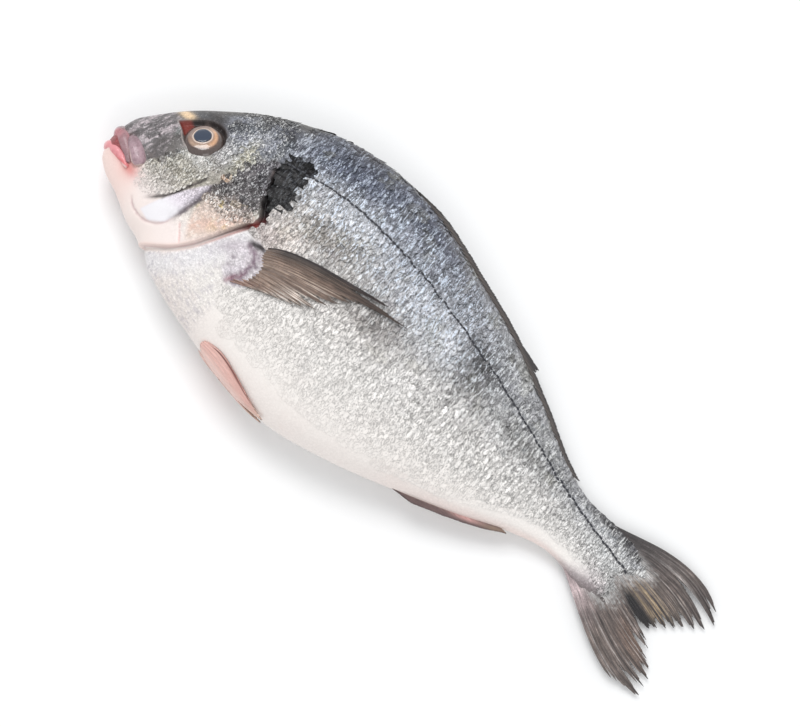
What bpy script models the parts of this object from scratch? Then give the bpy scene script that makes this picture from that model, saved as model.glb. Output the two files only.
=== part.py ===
"""A whole raw sea bream, lying on its right side as it does on a table.

Lengths are in millimetres, in the fish's own frame: x runs from the snout to the tail, y from
the belly to the back, and z from the middle plane to the left side, which faces up. Every
piece is shaped on a straight, even fish, and laid() then settles it on a flat surface: the
right flank is pressed flatter and the tail hangs down to the table. The result is in metres.
"""

import bmesh
import bpy
import numpy as np
from mathutils import Vector

MM = 0.001

# The side view and thickness of the body: distance from the snout, height of the back, height
# of the belly and half the thickness
STATIONS = (
    (-1, 14.5, -1.0, 6.0),
    (6, 23.6, -6.0, 8.6),
    (14, 32.8, -9.2, 10.8),
    (24, 41.6, -14.2, 13.2),
    (34, 49.2, -17.2, 15.4),
    (42, 54.2, -23.2, 16.9),
    (50, 58.2, -26.4, 18.2),
    (68, 64.8, -31.6, 20.3),
    (90, 68.0, -36.4, 21.4),
    (112, 65.6, -38.9, 20.6),
    (140, 57.6, -33.9, 17.4),
    (168, 48.2, -24.8, 13.2),
    (192, 37.0, -15.8, 9.2),
    (212, 27.4, -7.0, 6.4),
    (228, 22.6, -2.8, 4.8),
    (240, 22.4, -4.2, 3.2),
    (256, 21.0, -8.5, 1.2),
)
NOSE = STATIONS[0][0]
BODY_END = STATIONS[-1][0]
NOSE_HEIGHT = 5.5  # the mouth's height, where the snout closes
NOSE_ROUND = 3.0
END_HEIGHT = 6.5
END_ROUND = 7.0
BELLY_POWER = 0.5  # how full the section is towards the belly, and towards the back
BACK_POWER = 0.55

# How the fish lies
PRESS_START = 13.0  # half thickness at which the lower flank begins to flatten
PRESS_DEPTH = 5.2
REST_DEPTH = 16.9  # middle plane above the table
SAG_START = 120.0
SAG_END = 250.0
SAG = 12.0
MIDDLE = (147.1, 16.2)  # centre of the outline's box, which becomes the origin

# Head
GILL_EDGE = ((55, 42), (58.1, 32), (61.3, 24), (62.6, 15.5), (55.4, 3.2), (46.7, -8.9), (35, -17.8), (30, -21))
GILL_STEP = 1.7
GILL_FADE = 10.0
GILL_SLIT = 1.5
CHEEK_EDGE = ((25.5, -8), (29, -1), (35, 10.5), (39, 19), (40, 28))
CHEEK_GROOVE = 0.8
CHEEK_GROOVE_WIDTH = 1.8
EYE = (24.1, 26.9)
EYE_AXIS = (-0.41, 0.33, 0.85)
EYE_RADIUS = 8.0
EYE_DEPTH = 4.0
EYE_SUNK = 2.4
ORBIT = (8.2, 7.8)  # half length and half height of the socket's rim
ORBIT_RIM = 1.0
ORBIT_POINTS = 28
SHOULDER = (66.5, -1.5)  # the fleshy root of the pectoral fin
SHOULDER_RADIUS = 9.0
SHOULDER_RISE = 1.3

# Lips, from the middle of the snout to the corner: x, y, z and radius
UPPER_LIP = ((0.6, 9.0, 0, 3.0), (1.4, 8.2, 3.4, 3.0), (4.4, 6.8, 6.4, 2.9), (9, 5.2, 8.8, 2.8), (12.8, 3.6, 10.2, 2.8))
LOWER_LIP = ((1.2, 1.6, 0, 2.1), (2.2, 1.7, 3.0, 2.0), (5, 1.7, 5.4, 1.8), (8.5, 1.5, 7.4, 1.6), (12, 0.6, 9.2, 1.2))
LIP_POINTS = 17
TUBE_SIDES = 10

# Fins: where the first and last ray start, where the rays end, and how the blade is built
TAIL_ROOT = ((234, 20.8), (234, -2.2))
TAIL_ROOT_BOW = 10.0
TAIL_TIPS = (
    (296.6, 20.4),
    (291.0, 12.5),
    (283.5, 6.0),
    (277.5, -0.3),
    (282.8, -6.0),
    (289.0, -14.5),
    (291.4, -24.0),
)
TAIL_RAYS = 19
TAIL_BULGE = (7.6, 5.2)  # how far the upper and the lower lobe bow outwards
TAIL_SKEW = 1.3  # the lobes are broadest beyond the middle of the rays
TAIL_FALL = 3.4
TAIL_THICK = 2.4
PECTORAL_ROOT = ((69.5, 8.4), (71.5, -9.5))
PECTORAL_TIPS = ((122, 22.9), (133, 21.6), (118, 13.6), (108, 7.4), (99.5, 1.9), (91, -1.8), (80, -6.0))
PECTORAL_BULGE = 2.6
PECTORAL_RAYS = 13
PECTORAL_LIFT = 1.2
PECTORAL_THICK = 2.0
PELVIC_ROOT = ((77, 0.085), (78, 0.022))  # distance from the snout and share of the height
PELVIC_TIPS = ((115, 0.030), (112, 0.016), (105, 0.010), (97, 0.008))
PELVIC_RAYS = 6
PELVIC_THICK = 2.0
DORSAL = (78.0, 216.0)
DORSAL_HEIGHT = 3.2
DORSAL_TEETH = 22
ANAL = (168.0, 212.0)
ANAL_HEIGHT = 2.4
ANAL_TEETH = 9
FOLDED_THICK = 2.0
FOLDED_ROOT = 2.5  # how deep a folded fin's foot sits in the flesh

# Sections of the body: row number and distance from the snout, close together at the gill edge
ROWS = ((0, -1), (1, -0.8), (2, -0.3), (3, 0.6), (5, 3.2), (28, 57), (38, 67.5), (60, 246), (64, 256))
BODY_SIDES = 44
SKIN_COLOUR = (0.62, 0.63, 0.64, 1.0)


def curve_through(points):
    """A smooth curve through named points: a cubic between each two, sloped by their neighbours."""
    places, heights = np.array(points, float).T
    slopes = np.gradient(heights, places)

    def height(x):
        i = np.clip(np.searchsorted(places, x) - 1, 0, len(places) - 2)
        gap = places[i + 1] - places[i]
        s = np.clip((x - places[i]) / gap, 0, 1)
        return (
            (2 * s**3 - 3 * s**2 + 1) * heights[i]
            + (s**3 - 2 * s**2 + s) * gap * slopes[i]
            + (3 * s**2 - 2 * s**3) * heights[i + 1]
            + (s**3 - s**2) * gap * slopes[i + 1]
        )

    return height


def path_through(points):
    """Point at each share of the way, 0 to 1, along a smooth path through named points."""
    points = np.array(points, float)
    shares = np.linspace(0, 1, len(points))
    curves = [curve_through(np.column_stack((shares, column))) for column in points.T]
    return lambda share: np.stack([curve(np.asarray(share, float)) for curve in curves], -1)


back = curve_through([(x, top) for x, top, _, _ in STATIONS])
belly = curve_through([(x, low) for x, _, low, _ in STATIONS])
half_thickness = curve_through([(x, half) for x, _, _, half in STATIONS])


def rounding(x):
    """0 at the nose and at the body's end, 1 between them: a quarter ellipse at each."""
    nose = 1 - np.clip((x - NOSE) / NOSE_ROUND, 0, 1)
    end = 1 - np.clip((BODY_END - x) / END_ROUND, 0, 1)
    return np.sqrt(np.clip(1 - nose**2, 0, 1) * np.clip(1 - end**2, 0, 1))


def smooth_step(low, high, value):
    s = np.clip((value - low) / (high - low), 0, 1)
    return s * s * (3 - 2 * s)


def section_fullness(share):
    """Half thickness as a share of the widest, from the belly's edge (0) to the back's (1)."""
    share = np.clip(share, 0, 1)
    widest = BELLY_POWER / (BELLY_POWER + BACK_POWER)
    peak = widest**BELLY_POWER * (1 - widest) ** BACK_POWER
    return share**BELLY_POWER * (1 - share) ** BACK_POWER / peak


def smooth_skin(x, share):
    """Point of the smooth left flank at a distance from the snout and a share of the height."""
    x, share = np.broadcast_arrays(np.asarray(x, float), np.asarray(share, float))
    shrink = rounding(x)
    closing = np.where(x < (NOSE + BODY_END) / 2, NOSE_HEIGHT, END_HEIGHT)
    low, high = (closing + (edge(x) - closing) * shrink for edge in (belly, back))
    return np.stack(
        (x, low + (high - low) * share, half_thickness(x) * shrink * section_fullness(share)), -1
    )


def share_at(x, y):
    return np.clip((y - belly(x)) / (back(x) - belly(x)), 0, 1)


def skin_normal(x, share):
    """Outward normal of the smooth left flank."""
    step, slip = 0.4, 0.01
    x = np.clip(x, NOSE + 2 * step, BODY_END - 2 * step)
    share = np.clip(share, 2 * slip, 1 - 2 * slip)
    along = smooth_skin(x + step, share) - smooth_skin(x - step, share)
    up = smooth_skin(x, share + slip) - smooth_skin(x, share - slip)
    normal = np.cross(along, up)
    return normal / np.linalg.norm(normal, axis=-1, keepdims=True)


def beside_path(x, y, path, steps=40):
    """Signed distance from a path in the side view, positive towards the snout, and the share of
    the way along it of the nearest point."""
    ends = path(np.linspace(0, 1, steps + 1))
    best = np.full(np.shape(x), 1e9)
    signed, where = np.zeros_like(best), np.zeros_like(best)
    for i, (a, b) in enumerate(zip(ends[:-1], ends[1:])):
        d = b - a
        t = np.clip(((x - a[0]) * d[0] + (y - a[1]) * d[1]) / (d @ d), 0, 1)
        px, py = x - a[0] - t * d[0], y - a[1] - t * d[1]
        gap = np.hypot(px, py)
        side = np.sign(d[0] * py - d[1] * px)
        nearer = gap < best
        best = np.where(nearer, gap, best)
        signed = np.where(nearer, gap * side, signed)
        where = np.where(nearer, (i + t) / steps, where)
    return signed, where


def head_relief(points):
    """How far the real head stands out from the smooth one, in the normal's direction."""
    x, y = points[..., 0], points[..., 1]
    ahead, along = beside_path(x, y, path_through(GILL_EDGE))
    ahead = -ahead
    strength = smooth_step(0.0, 0.12, along)
    cover = GILL_STEP * np.exp(-np.clip(ahead, 0, None) / GILL_FADE) * smooth_step(-0.8, 0.4, ahead)
    slit = -GILL_SLIT * np.exp(-(((ahead + 1.4) / 1.2) ** 2))
    rise = strength * (cover + slit)

    beside, along = beside_path(x, y, path_through(CHEEK_EDGE))
    ends = smooth_step(0, 0.2, along) * smooth_step(1, 0.8, along)
    rise = rise - CHEEK_GROOVE * ends * np.exp(-((beside / CHEEK_GROOVE_WIDTH) ** 2))

    root = np.hypot(x - SHOULDER[0], y - SHOULDER[1]) / SHOULDER_RADIUS
    return rise + SHOULDER_RISE * smooth_step(1, 0.4, root)


def skin(x, share, lift=0.0):
    """Point of the left flank, lifted off it by a distance."""
    return smooth_skin(x, share) + skin_normal(x, share) * np.asarray(lift)[..., None]


def laid(points, side=1):
    """Points of the straight fish, in mm, moved to where they lie on the table, in metres."""
    x, y, z = np.moveaxis(np.array(points, float), -1, 0)
    z = z * side
    over = np.clip(-z - PRESS_START, 0, None)
    pressed = PRESS_START + PRESS_DEPTH * (1 - np.exp(-over / PRESS_DEPTH))
    z = np.where(over > 0, -pressed, z) - SAG * smooth_step(SAG_START, SAG_END, x)
    return np.stack((x - MIDDLE[0], y - MIDDLE[1], z + REST_DEPTH), -1) * MM


def skin_material():
    material = bpy.data.materials.new("raw_fish_skin")
    material.use_nodes = True
    shader = material.node_tree.nodes["Principled BSDF"]
    shader.inputs["Base Color"].default_value = SKIN_COLOUR
    shader.inputs["Roughness"].default_value = 0.35
    shader.inputs["Metallic"].default_value = 0.3
    return material


def object_from(name, shape, group):
    """A new object in the group, from a bmesh whose points are already where they lie."""
    mesh = bpy.data.meshes.new(name)
    shape.normal_update()
    bmesh.ops.recalc_face_normals(shape, faces=shape.faces)
    shape.to_mesh(mesh)
    shape.free()
    made = bpy.data.objects.new(name, mesh)
    group.objects.link(made)
    return made


def body(group):
    """The trunk and head: a sphere whose parallels become sections and whose poles are the
    mouth and the root of the tail."""
    shape = bmesh.new()
    bmesh.ops.create_uvsphere(shape, u_segments=BODY_SIDES, v_segments=ROWS[-1][0], radius=1)
    globe = np.array([v.co for v in shape.verts])
    row = np.arccos(np.clip(globe[:, 2], -1, 1)) / np.pi * ROWS[-1][0]
    share = (1 + np.cos(np.arctan2(globe[:, 1], globe[:, 0]))) / 2
    x = bent_to_gill(np.interp(row, *np.transpose(ROWS)), share)
    points = smooth_skin(x, share)
    rise = head_relief(points) * smooth_step(NOSE, NOSE + 8, x)
    points = points + skin_normal(x, share) * rise[:, None]
    side = np.where(globe[:, 1] < 0, -1, 1)
    for vertex, place in zip(shape.verts, laid(points, side)):
        vertex.co = place
    return object_from("fish", shape, group)


def bent_to_gill(x, share):
    """Bends the sections near the gill cover, so that one of them runs along its edge."""
    edge_x, edge_y = np.transpose(GILL_EDGE)
    widest = edge_x.max()
    edge_at = curve_through(list(zip(edge_y, edge_x))[::-1])
    edge = np.full(np.shape(x), widest)
    for _ in range(4):
        edge = edge_at(np.clip(belly(edge) + share * (back(edge) - belly(edge)), edge_y[-1], edge_y[0]))
    pull = smooth_step(NOSE, widest, x) * smooth_step(115, widest + 3, x)
    return x + (edge - widest) * pull


def eye(name, side, group):
    """The eyeball: a flattened sphere set in its socket, facing a little forward and up."""
    axis = np.array(EYE_AXIS) / np.linalg.norm(EYE_AXIS)
    centre = smooth_skin(EYE[0], share_at(*EYE)) - axis * EYE_SUNK
    shape = bmesh.new()
    bmesh.ops.create_uvsphere(shape, u_segments=18, v_segments=10, radius=EYE_RADIUS)
    turn = Vector((0, 0, 1)).rotation_difference(Vector(axis))
    for vertex in shape.verts:
        vertex.co.z *= EYE_DEPTH / EYE_RADIUS
        vertex.co = laid(np.array(turn @ vertex.co) + centre, side)
    return object_from(name, shape, group)


def tube(name, points, radii, closed, group):
    """A solid tube through points that are already laid, as thick at each as its radius says."""
    line = bpy.data.curves.new(name, "CURVE")
    line.dimensions = "3D"
    line.bevel_depth = MM
    line.bevel_resolution = (TUBE_SIDES - 4) // 2
    line.use_fill_caps = True
    spline = line.splines.new("POLY")
    spline.points.add(len(points) - 1)
    spline.use_cyclic_u = closed
    for point, place, radius in zip(spline.points, points, radii):
        point.co = (*place, 1)
        point.radius = radius
    guide = bpy.data.objects.new(name + "_line", line)
    group.objects.link(guide)
    bpy.context.view_layer.update()
    evaluated = guide.evaluated_get(bpy.context.evaluated_depsgraph_get())
    mesh = bpy.data.meshes.new_from_object(evaluated)
    bpy.data.objects.remove(guide)
    shape = bmesh.new()
    shape.from_mesh(mesh)
    bpy.data.meshes.remove(mesh)
    bmesh.ops.remove_doubles(shape, verts=shape.verts, dist=MM * 0.01)
    return object_from(name, shape, group)


def lip(name, half_path, group):
    """A thick lip round the front of the jaw, from one corner of the mouth to the other."""
    shares = np.linspace(-1, 1, LIP_POINTS)
    path = path_through(half_path)(np.abs(shares))
    points = laid(path[:, :3], np.where(shares < 0, -1, 1))
    return tube(name, points, path[:, 3], False, group)


def orbit(name, side, group):
    """The raised rim of the eye socket, lying on the skin round the eye."""
    turn = np.linspace(0, 2 * np.pi, ORBIT_POINTS, endpoint=False)
    x = EYE[0] + ORBIT[0] * np.cos(turn)
    y = EYE[1] + ORBIT[1] * np.sin(turn)
    points = laid(smooth_skin(x, share_at(x, y)), side)
    return tube(name, points, np.full(ORBIT_POINTS, ORBIT_RIM), True, group)


def fin(name, rays, rows, thickness, place, side, group, web_cut=0.08, seed=1):
    """A blade of rays with webs between: a grid, ray and web columns by turns, whose ragged edge
    is shorter at each web. place(u, v) gives the point of the straight fish at a share u of the
    way out and v across."""
    columns = 2 * rays - 1
    lengths = np.random.default_rng(seed).uniform(0.96, 1.0, columns)
    lengths[[0, -1]] = 1
    lengths[1::2] -= web_cut
    shape = bmesh.new()
    bmesh.ops.create_grid(shape, x_segments=rows, y_segments=columns - 1, size=0.5)
    thick = []
    for vertex in shape.verts:
        u, v = vertex.co.x + 0.5, vertex.co.y + 0.5
        column = round(v * (columns - 1))
        web = column % 2
        thick.append((1 - 0.65 * u) * (0.6 if web else 1.0))
        vertex.co = laid(place(u * (1 - (1 - lengths[column]) * u), v), side)
    made = object_from(name, shape, group)
    weights = made.vertex_groups.new(name="thick")
    for index, weight in enumerate(thick):
        weights.add([index], weight, "REPLACE")
    shell = made.modifiers.new("Thickness", "SOLIDIFY")
    shell.thickness = thickness * MM
    shell.offset = 0
    shell.vertex_group = "thick"
    shell.thickness_vertex_group = 0.1
    return made


def tail_place(u, v):
    """The tail fin: rays fan out from the root, bow outwards and end along the fork."""
    root = path_through(TAIL_ROOT)(v)
    root[0] += TAIL_ROOT_BOW * (1 - (2 * v - 1) ** 2)
    tip = path_through(TAIL_TIPS)(v)
    outward = 1 - 2 * v
    x, y = root + (tip - root) * u
    bulge = TAIL_BULGE[0] if outward > 0 else TAIL_BULGE[1]
    y += bulge * outward * abs(outward) * np.sin(np.pi * u**TAIL_SKEW)
    return (x, y, -TAIL_FALL * u * u)


def pectoral_place(u, v):
    """The pectoral fin lies back along the flank, and its tip stands a little off."""
    x, y = blade(PECTORAL_ROOT, PECTORAL_TIPS, u, v)
    y += PECTORAL_BULGE * (1 - v) * 4 * u * (1 - u)
    return skin(x, share_at(x, y), 0.3 + PECTORAL_LIFT * u * u)


def pelvic_place(u, v):
    x, share = blade(PELVIC_ROOT, PELVIC_TIPS, u, v)
    return skin(x, share, 0.3 + 0.6 * u)


def blade(root, tips, u, v):
    start = path_through(root)(v)
    return start + (path_through(tips)(v) - start) * u


def folded_place(edge, span, height, away):
    """A fin folded down on the back's or the belly's edge: a low blade that leans to the left."""

    def place(u, v):
        x = span[0] + (span[1] - span[0]) * v
        slope = (edge(x + 1) - edge(x - 1)) / 2
        out = np.array((-slope, 1.0)) * away / np.hypot(slope, 1)
        swell = smooth_step(0, 0.07, v) * (1 - 0.3 * smooth_step(0.9, 1, v))
        reach = -FOLDED_ROOT + (FOLDED_ROOT + height * swell) * u
        return (x + out[0] * reach + 3.0 * u, edge(x) + out[1] * reach, 0.9 * u)

    return place


def keep_largest(shape):
    """Fills the hollows that joining sealed and drops loose scraps: only the largest skin stays."""
    left = set(shape.faces)
    skins = []
    while left:
        rim = [left.pop()]
        found = set(rim)
        while rim:
            near = {face for edge in rim.pop().edges for face in edge.link_faces} & left
            left -= near
            found |= near
            rim.extend(near)
        skins.append(found)
    skins.sort(key=len)
    for found in skins[:-1]:
        bmesh.ops.delete(shape, geom=list(found), context="FACES")


def fused(made, group):
    """One solid from all the pieces of the fish, trimmed flat where it meets the table."""
    others = bpy.data.collections.new("pieces_to_join")
    bpy.context.scene.collection.children.link(others)
    for piece in list(group.objects):
        if piece != made:
            group.objects.unlink(piece)
            others.objects.link(piece)
    union = made.modifiers.new("Union", "BOOLEAN")
    union.operation = "UNION"
    union.operand_type = "COLLECTION"
    union.collection = others
    bpy.context.view_layer.update()
    evaluated = made.evaluated_get(bpy.context.evaluated_depsgraph_get())
    mesh = bpy.data.meshes.new_from_object(evaluated)
    made.modifiers.clear()
    for piece in list(others.objects):
        bpy.data.objects.remove(piece)
    bpy.data.collections.remove(others)

    shape = bmesh.new()
    shape.from_mesh(mesh)
    everything = shape.verts[:] + shape.edges[:] + shape.faces[:]
    cut = bmesh.ops.bisect_plane(
        shape, geom=everything, dist=1e-7, plane_co=(0, 0, 0), plane_no=(0, 0, -1), clear_outer=True
    )
    rim = [item for item in cut["geom_cut"] if isinstance(item, bmesh.types.BMEdge)]
    bmesh.ops.holes_fill(shape, edges=rim, sides=0)
    keep_largest(shape)
    shape.to_mesh(mesh)
    shape.free()
    made.data = mesh
    return made


def build():
    for old in list(bpy.data.objects):
        bpy.data.objects.remove(old)
    group = bpy.data.collections.new("sea_bream")
    bpy.context.scene.collection.children.link(group)
    made = body(group)
    lip("upper_lip", UPPER_LIP, group)
    lip("lower_lip", LOWER_LIP, group)
    fin("tail_fin", TAIL_RAYS, 8, TAIL_THICK, tail_place, 1, group, web_cut=0.07, seed=3)
    for word, side in (("left", 1), ("right", -1)):
        eye("eye_" + word, side, group)
        orbit("orbit_" + word, side, group)
        fin("pectoral_" + word, PECTORAL_RAYS, 7, PECTORAL_THICK, pectoral_place, side, group, web_cut=0.03)
        fin("pelvic_" + word, PELVIC_RAYS, 6, PELVIC_THICK, pelvic_place, side, group)
    for name, edge, span, height, teeth, away, web_cut in (
        ("dorsal_fin", back, DORSAL, DORSAL_HEIGHT, DORSAL_TEETH, 1, 0.2),
        ("anal_fin", belly, ANAL, ANAL_HEIGHT, ANAL_TEETH, -1, 0.1),
    ):
        place = folded_place(edge, span, height, away)
        fin(name, teeth, 2, FOLDED_THICK, place, 1, group, web_cut=web_cut, seed=5)
    made = fused(made, group)
    made.data.materials.clear()
    made.data.materials.append(skin_material())
    made.data.shade_smooth()


build()
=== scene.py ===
"""The looks of a whole raw sea bream lying on its right side.

Lengths are in millimetres in the fish's own frame: x runs from the snout to the tail, y from the
belly to the back, and z from the middle plane to the left side, which faces up. laid() turns
points of the straight fish into points where it lies, in metres. The form is the solid's own,
with finer relief on the head, a real scale for each scale and fins made of rays and webs.
"""

import math

import bmesh
import bpy
import numpy as np
from mathutils import Matrix, Vector


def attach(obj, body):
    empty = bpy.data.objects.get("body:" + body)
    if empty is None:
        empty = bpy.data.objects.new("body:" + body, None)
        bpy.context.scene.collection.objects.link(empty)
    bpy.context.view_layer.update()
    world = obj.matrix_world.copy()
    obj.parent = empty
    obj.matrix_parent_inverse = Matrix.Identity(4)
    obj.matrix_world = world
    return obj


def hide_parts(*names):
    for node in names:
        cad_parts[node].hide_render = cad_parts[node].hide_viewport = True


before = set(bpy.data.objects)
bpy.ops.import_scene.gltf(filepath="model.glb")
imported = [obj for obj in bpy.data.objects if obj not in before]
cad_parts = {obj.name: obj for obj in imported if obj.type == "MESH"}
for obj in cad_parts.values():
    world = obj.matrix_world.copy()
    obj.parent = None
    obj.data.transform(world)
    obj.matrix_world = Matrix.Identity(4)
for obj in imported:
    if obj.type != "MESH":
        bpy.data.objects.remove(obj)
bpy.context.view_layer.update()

MM = 0.001

# The form of the body: distance from the snout, back, belly and half the thickness
STATIONS = (
    (-1, 14.5, -1.0, 6.0),
    (6, 23.6, -6.0, 8.6),
    (14, 32.8, -9.2, 10.8),
    (24, 41.6, -14.2, 13.2),
    (34, 49.2, -17.2, 15.4),
    (42, 54.2, -23.2, 16.9),
    (50, 58.2, -26.4, 18.2),
    (68, 64.8, -31.6, 20.3),
    (90, 68.0, -36.4, 21.4),
    (112, 65.6, -38.9, 20.6),
    (140, 57.6, -33.9, 17.4),
    (168, 48.2, -24.8, 13.2),
    (192, 37.0, -15.8, 9.2),
    (212, 27.4, -7.0, 6.4),
    (228, 22.6, -2.8, 4.8),
    (240, 22.4, -4.2, 3.2),
    (256, 21.0, -8.5, 1.2),
)
NOSE = STATIONS[0][0]
BODY_END = STATIONS[-1][0]
NOSE_HEIGHT = 5.5
NOSE_ROUND = 3.0
END_TAPER = 13.0
END_THIN = 0.05
BELLY_POWER = 0.5
BACK_POWER = 0.55
PRESS_START = 13.0
PRESS_DEPTH = 5.2
REST_DEPTH = 16.9
SAG_START = 120.0
SAG_END = 250.0
SAG = 12.0
MIDDLE = (147.1, 16.2)
FLOOR_GAP = 0.02

# Lines of the head and body in the side view
GILL_EDGE = (
    (53.0, 43.8),
    (55.3, 34.9),
    (56.6, 29.8),
    (59.2, 22.3),
    (63.0, 15.7),
    (60.7, 11.6),
    (57.2, 5.7),
    (52.8, -1.9),
    (48.5, -8.4),
    (42.1, -14.5),
    (34.0, -18.4),
    (29.3, -20.9),
)
GILL_STEP = 1.7
GILL_FADE = 10.0
GILL_SLIT = 2.3
CHEEK_LINE = (
    (23.5, -6.4),
    (27.0, -2.8),
    (30.1, 0.2),
    (32.7, 4.7),
    (35.0, 9.1),
    (37.3, 13.4),
    (38.7, 17.4),
)
FLANGE_LINE = ((36.7, -7.5), (39.1, -0.8), (40.3, 4.3), (41.4, 8.7), (42.0, 13.4), (42.5, 17.9))
JAW_LINE = ((19.5, -6.5), (22.0, -9.3), (26.0, -10.9), (31.1, -10.9), (36.0, -8.3), (38.6, -3.5))
THROAT_LINE = ((40.6, -3.6), (43.7, -7.2), (46.6, -10.6))
# Slits and seams of the head: line, depth and width, then colour, strength and width of the paint
HEAD_LINES = (
    (CHEEK_LINE, 0.75, 0.8, (74, 67, 68), 0.9, 0.7),
    (FLANGE_LINE, 0.7, 1.0, (80, 68, 82), 0.85, 1.1),
    (JAW_LINE, 0.5, 0.6, (186, 156, 158), 0.6, 0.4),
    (THROAT_LINE, 0.35, 0.5, (222, 142, 138), 0.5, 0.3),
)
FOLD_LINE = ((64.5, 6.0), (68.5, 5.2), (71.4, 3.0), (72.4, -1.0), (71.4, -5.5), (68.2, -9.6))
BLOTCH = [(54.5, 30), (66, 14.5), (69.4, 24), (70, 38), (64.2, 47), (56, 46)]
LATERAL_LINE = (
    (54.6, 39.3),
    (67.1, 41.3),
    (84.2, 43.5),
    (110.0, 42.7),
    (133.3, 39.4),
    (158.8, 34.3),
    (186.7, 27.5),
    (216.0, 19.2),
    (247.6, 12.8),
    (256.8, 11.1),
)
# Where the silver scales end: share of the tail root's height, and distance from the snout
TAIL_EDGE = (
    (0, 244),
    (0.1, 249),
    (0.25, 254.5),
    (0.42, 253),
    (0.52, 252),
    (0.68, 256),
    (0.82, 261),
    (0.95, 256),
    (1, 250),
)
# Where the belly's smooth skin ends: distance from the snout, and share of the height
BELLY_EDGE = (
    (60, 0.10),
    (83, 0.13),
    (102, 0.15),
    (128, 0.13),
    (164, 0.095),
    (181, 0.1),
    (195, 0.14),
    (207, 0.2),
    (216, 0.25),
    (228, 0.22),
    (242, 0.26),
    (250, 0.2),
    (262, 0.1),
)
EYE = (26.1, 26.3)
EYE_AXIS = (-0.41, 0.33, 0.85)
EYE_RADIUS = 8.0
EYE_DEPTH = 4.0
EYE_SUNK = 2.4
SOCKET = (26.3, 27.5)
SOCKET_TURN = math.radians(41)
SOCKET_SIZE = (8.3, 7.2)
SOCKET_CORNER = math.radians(142)
SHOULDER = (70.3, -0.4)
SHOULDER_SIZE = (7.6, 9.6)
SHOULDER_RISE = 1.5
NOSTRILS = ((10.6, 13.2, 0.6), (13.0, 16.8, 0.8))

# The globe's parallels, and the distance from the snout that each is drawn to
SKIN_ROWS = ((0, -1), (8, 0.6), (14, 3.2), (150, 57), (186, 67.5), (216, 100), (246, 246), (256, 256))
SKIN_SIDES = 360


# The form


def curve_through(points):
    """A smooth curve through named points: a cubic between each two, sloped by their neighbours."""
    places, heights = np.array(points, float).T
    slopes = np.gradient(heights, places)

    def height(x):
        i = np.clip(np.searchsorted(places, x) - 1, 0, len(places) - 2)
        gap = places[i + 1] - places[i]
        s = np.clip((x - places[i]) / gap, 0, 1)
        return (
            (2 * s**3 - 3 * s**2 + 1) * heights[i]
            + (s**3 - 2 * s**2 + s) * gap * slopes[i]
            + (3 * s**2 - 2 * s**3) * heights[i + 1]
            + (s**3 - s**2) * gap * slopes[i + 1]
        )

    return height


def path_through(points):
    """Point at each share of the way, 0 to 1, along a smooth path through named points."""
    points = np.array(points, float)
    shares = np.linspace(0, 1, len(points))
    curves = [curve_through(np.column_stack((shares, column))) for column in points.T]
    return lambda share: np.stack([curve(np.asarray(share, float)) for curve in curves], -1)


back = curve_through([(x, top) for x, top, _, _ in STATIONS])
belly = curve_through([(x, low) for x, _, low, _ in STATIONS])
half_thickness = curve_through([(x, half) for x, _, _, half in STATIONS])
lateral = curve_through(LATERAL_LINE)


def rounding(x):
    """0 at the nose and 1 behind it, by a quarter of an ellipse."""
    return np.sqrt(1 - (1 - np.clip((x - NOSE) / NOSE_ROUND, 0, 1)) ** 2)


def tail_reach(share):
    """How far back the silver scales come, at each share of the tail root's height."""
    return np.interp(share, *np.transpose(TAIL_EDGE))


def thinning(x, share):
    """How the body thins down into the tail fin, where its scales end."""
    end = np.minimum(tail_reach(share) + 1.5, BODY_END)
    return np.maximum(np.sqrt(1 - np.clip(1 - (end - x) / END_TAPER, 0, 1) ** 2), END_THIN)


def ramp(low, high, value):
    """0 at low and 1 at high, with a soft change between."""
    s = np.clip((value - low) / (high - low), 0, 1)
    return s * s * (3 - 2 * s)


def section_fullness(share):
    """Half thickness as a share of the widest, from the belly's edge (0) to the back's (1)."""
    share = np.clip(share, 0, 1)
    widest = BELLY_POWER / (BELLY_POWER + BACK_POWER)
    peak = widest**BELLY_POWER * (1 - widest) ** BACK_POWER
    return share**BELLY_POWER * (1 - share) ** BACK_POWER / peak


def smooth_skin(x, share):
    """Point of the smooth left flank at a distance from the snout and a share of the height."""
    x, share = np.broadcast_arrays(np.asarray(x, float), np.asarray(share, float))
    shrink = rounding(x)
    low, high = (NOSE_HEIGHT + (edge(x) - NOSE_HEIGHT) * shrink for edge in (belly, back))
    half = half_thickness(x) * shrink * thinning(x, share)
    return np.stack((x, low + (high - low) * share, half * section_fullness(share)), -1)


def share_at(x, y):
    return np.clip((y - belly(x)) / (back(x) - belly(x)), 0, 1)


def skin_normal(x, share):
    """Outward normal of the smooth left flank."""
    step, slip = 0.4, 0.01
    x = np.clip(x, NOSE + 2 * step, BODY_END - 2 * step)
    share = np.clip(share, 2 * slip, 1 - 2 * slip)
    along = smooth_skin(x + step, share) - smooth_skin(x - step, share)
    up = smooth_skin(x, share + slip) - smooth_skin(x, share - slip)
    return unit(np.cross(along, up))


def unit(vectors):
    return vectors / np.maximum(np.linalg.norm(vectors, axis=-1, keepdims=True), 1e-12)


def skin(x, share, lift=0.0):
    """Point of the left flank, lifted off it by a distance."""
    return smooth_skin(x, share) + skin_normal(x, share) * np.asarray(lift)[..., None]


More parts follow.
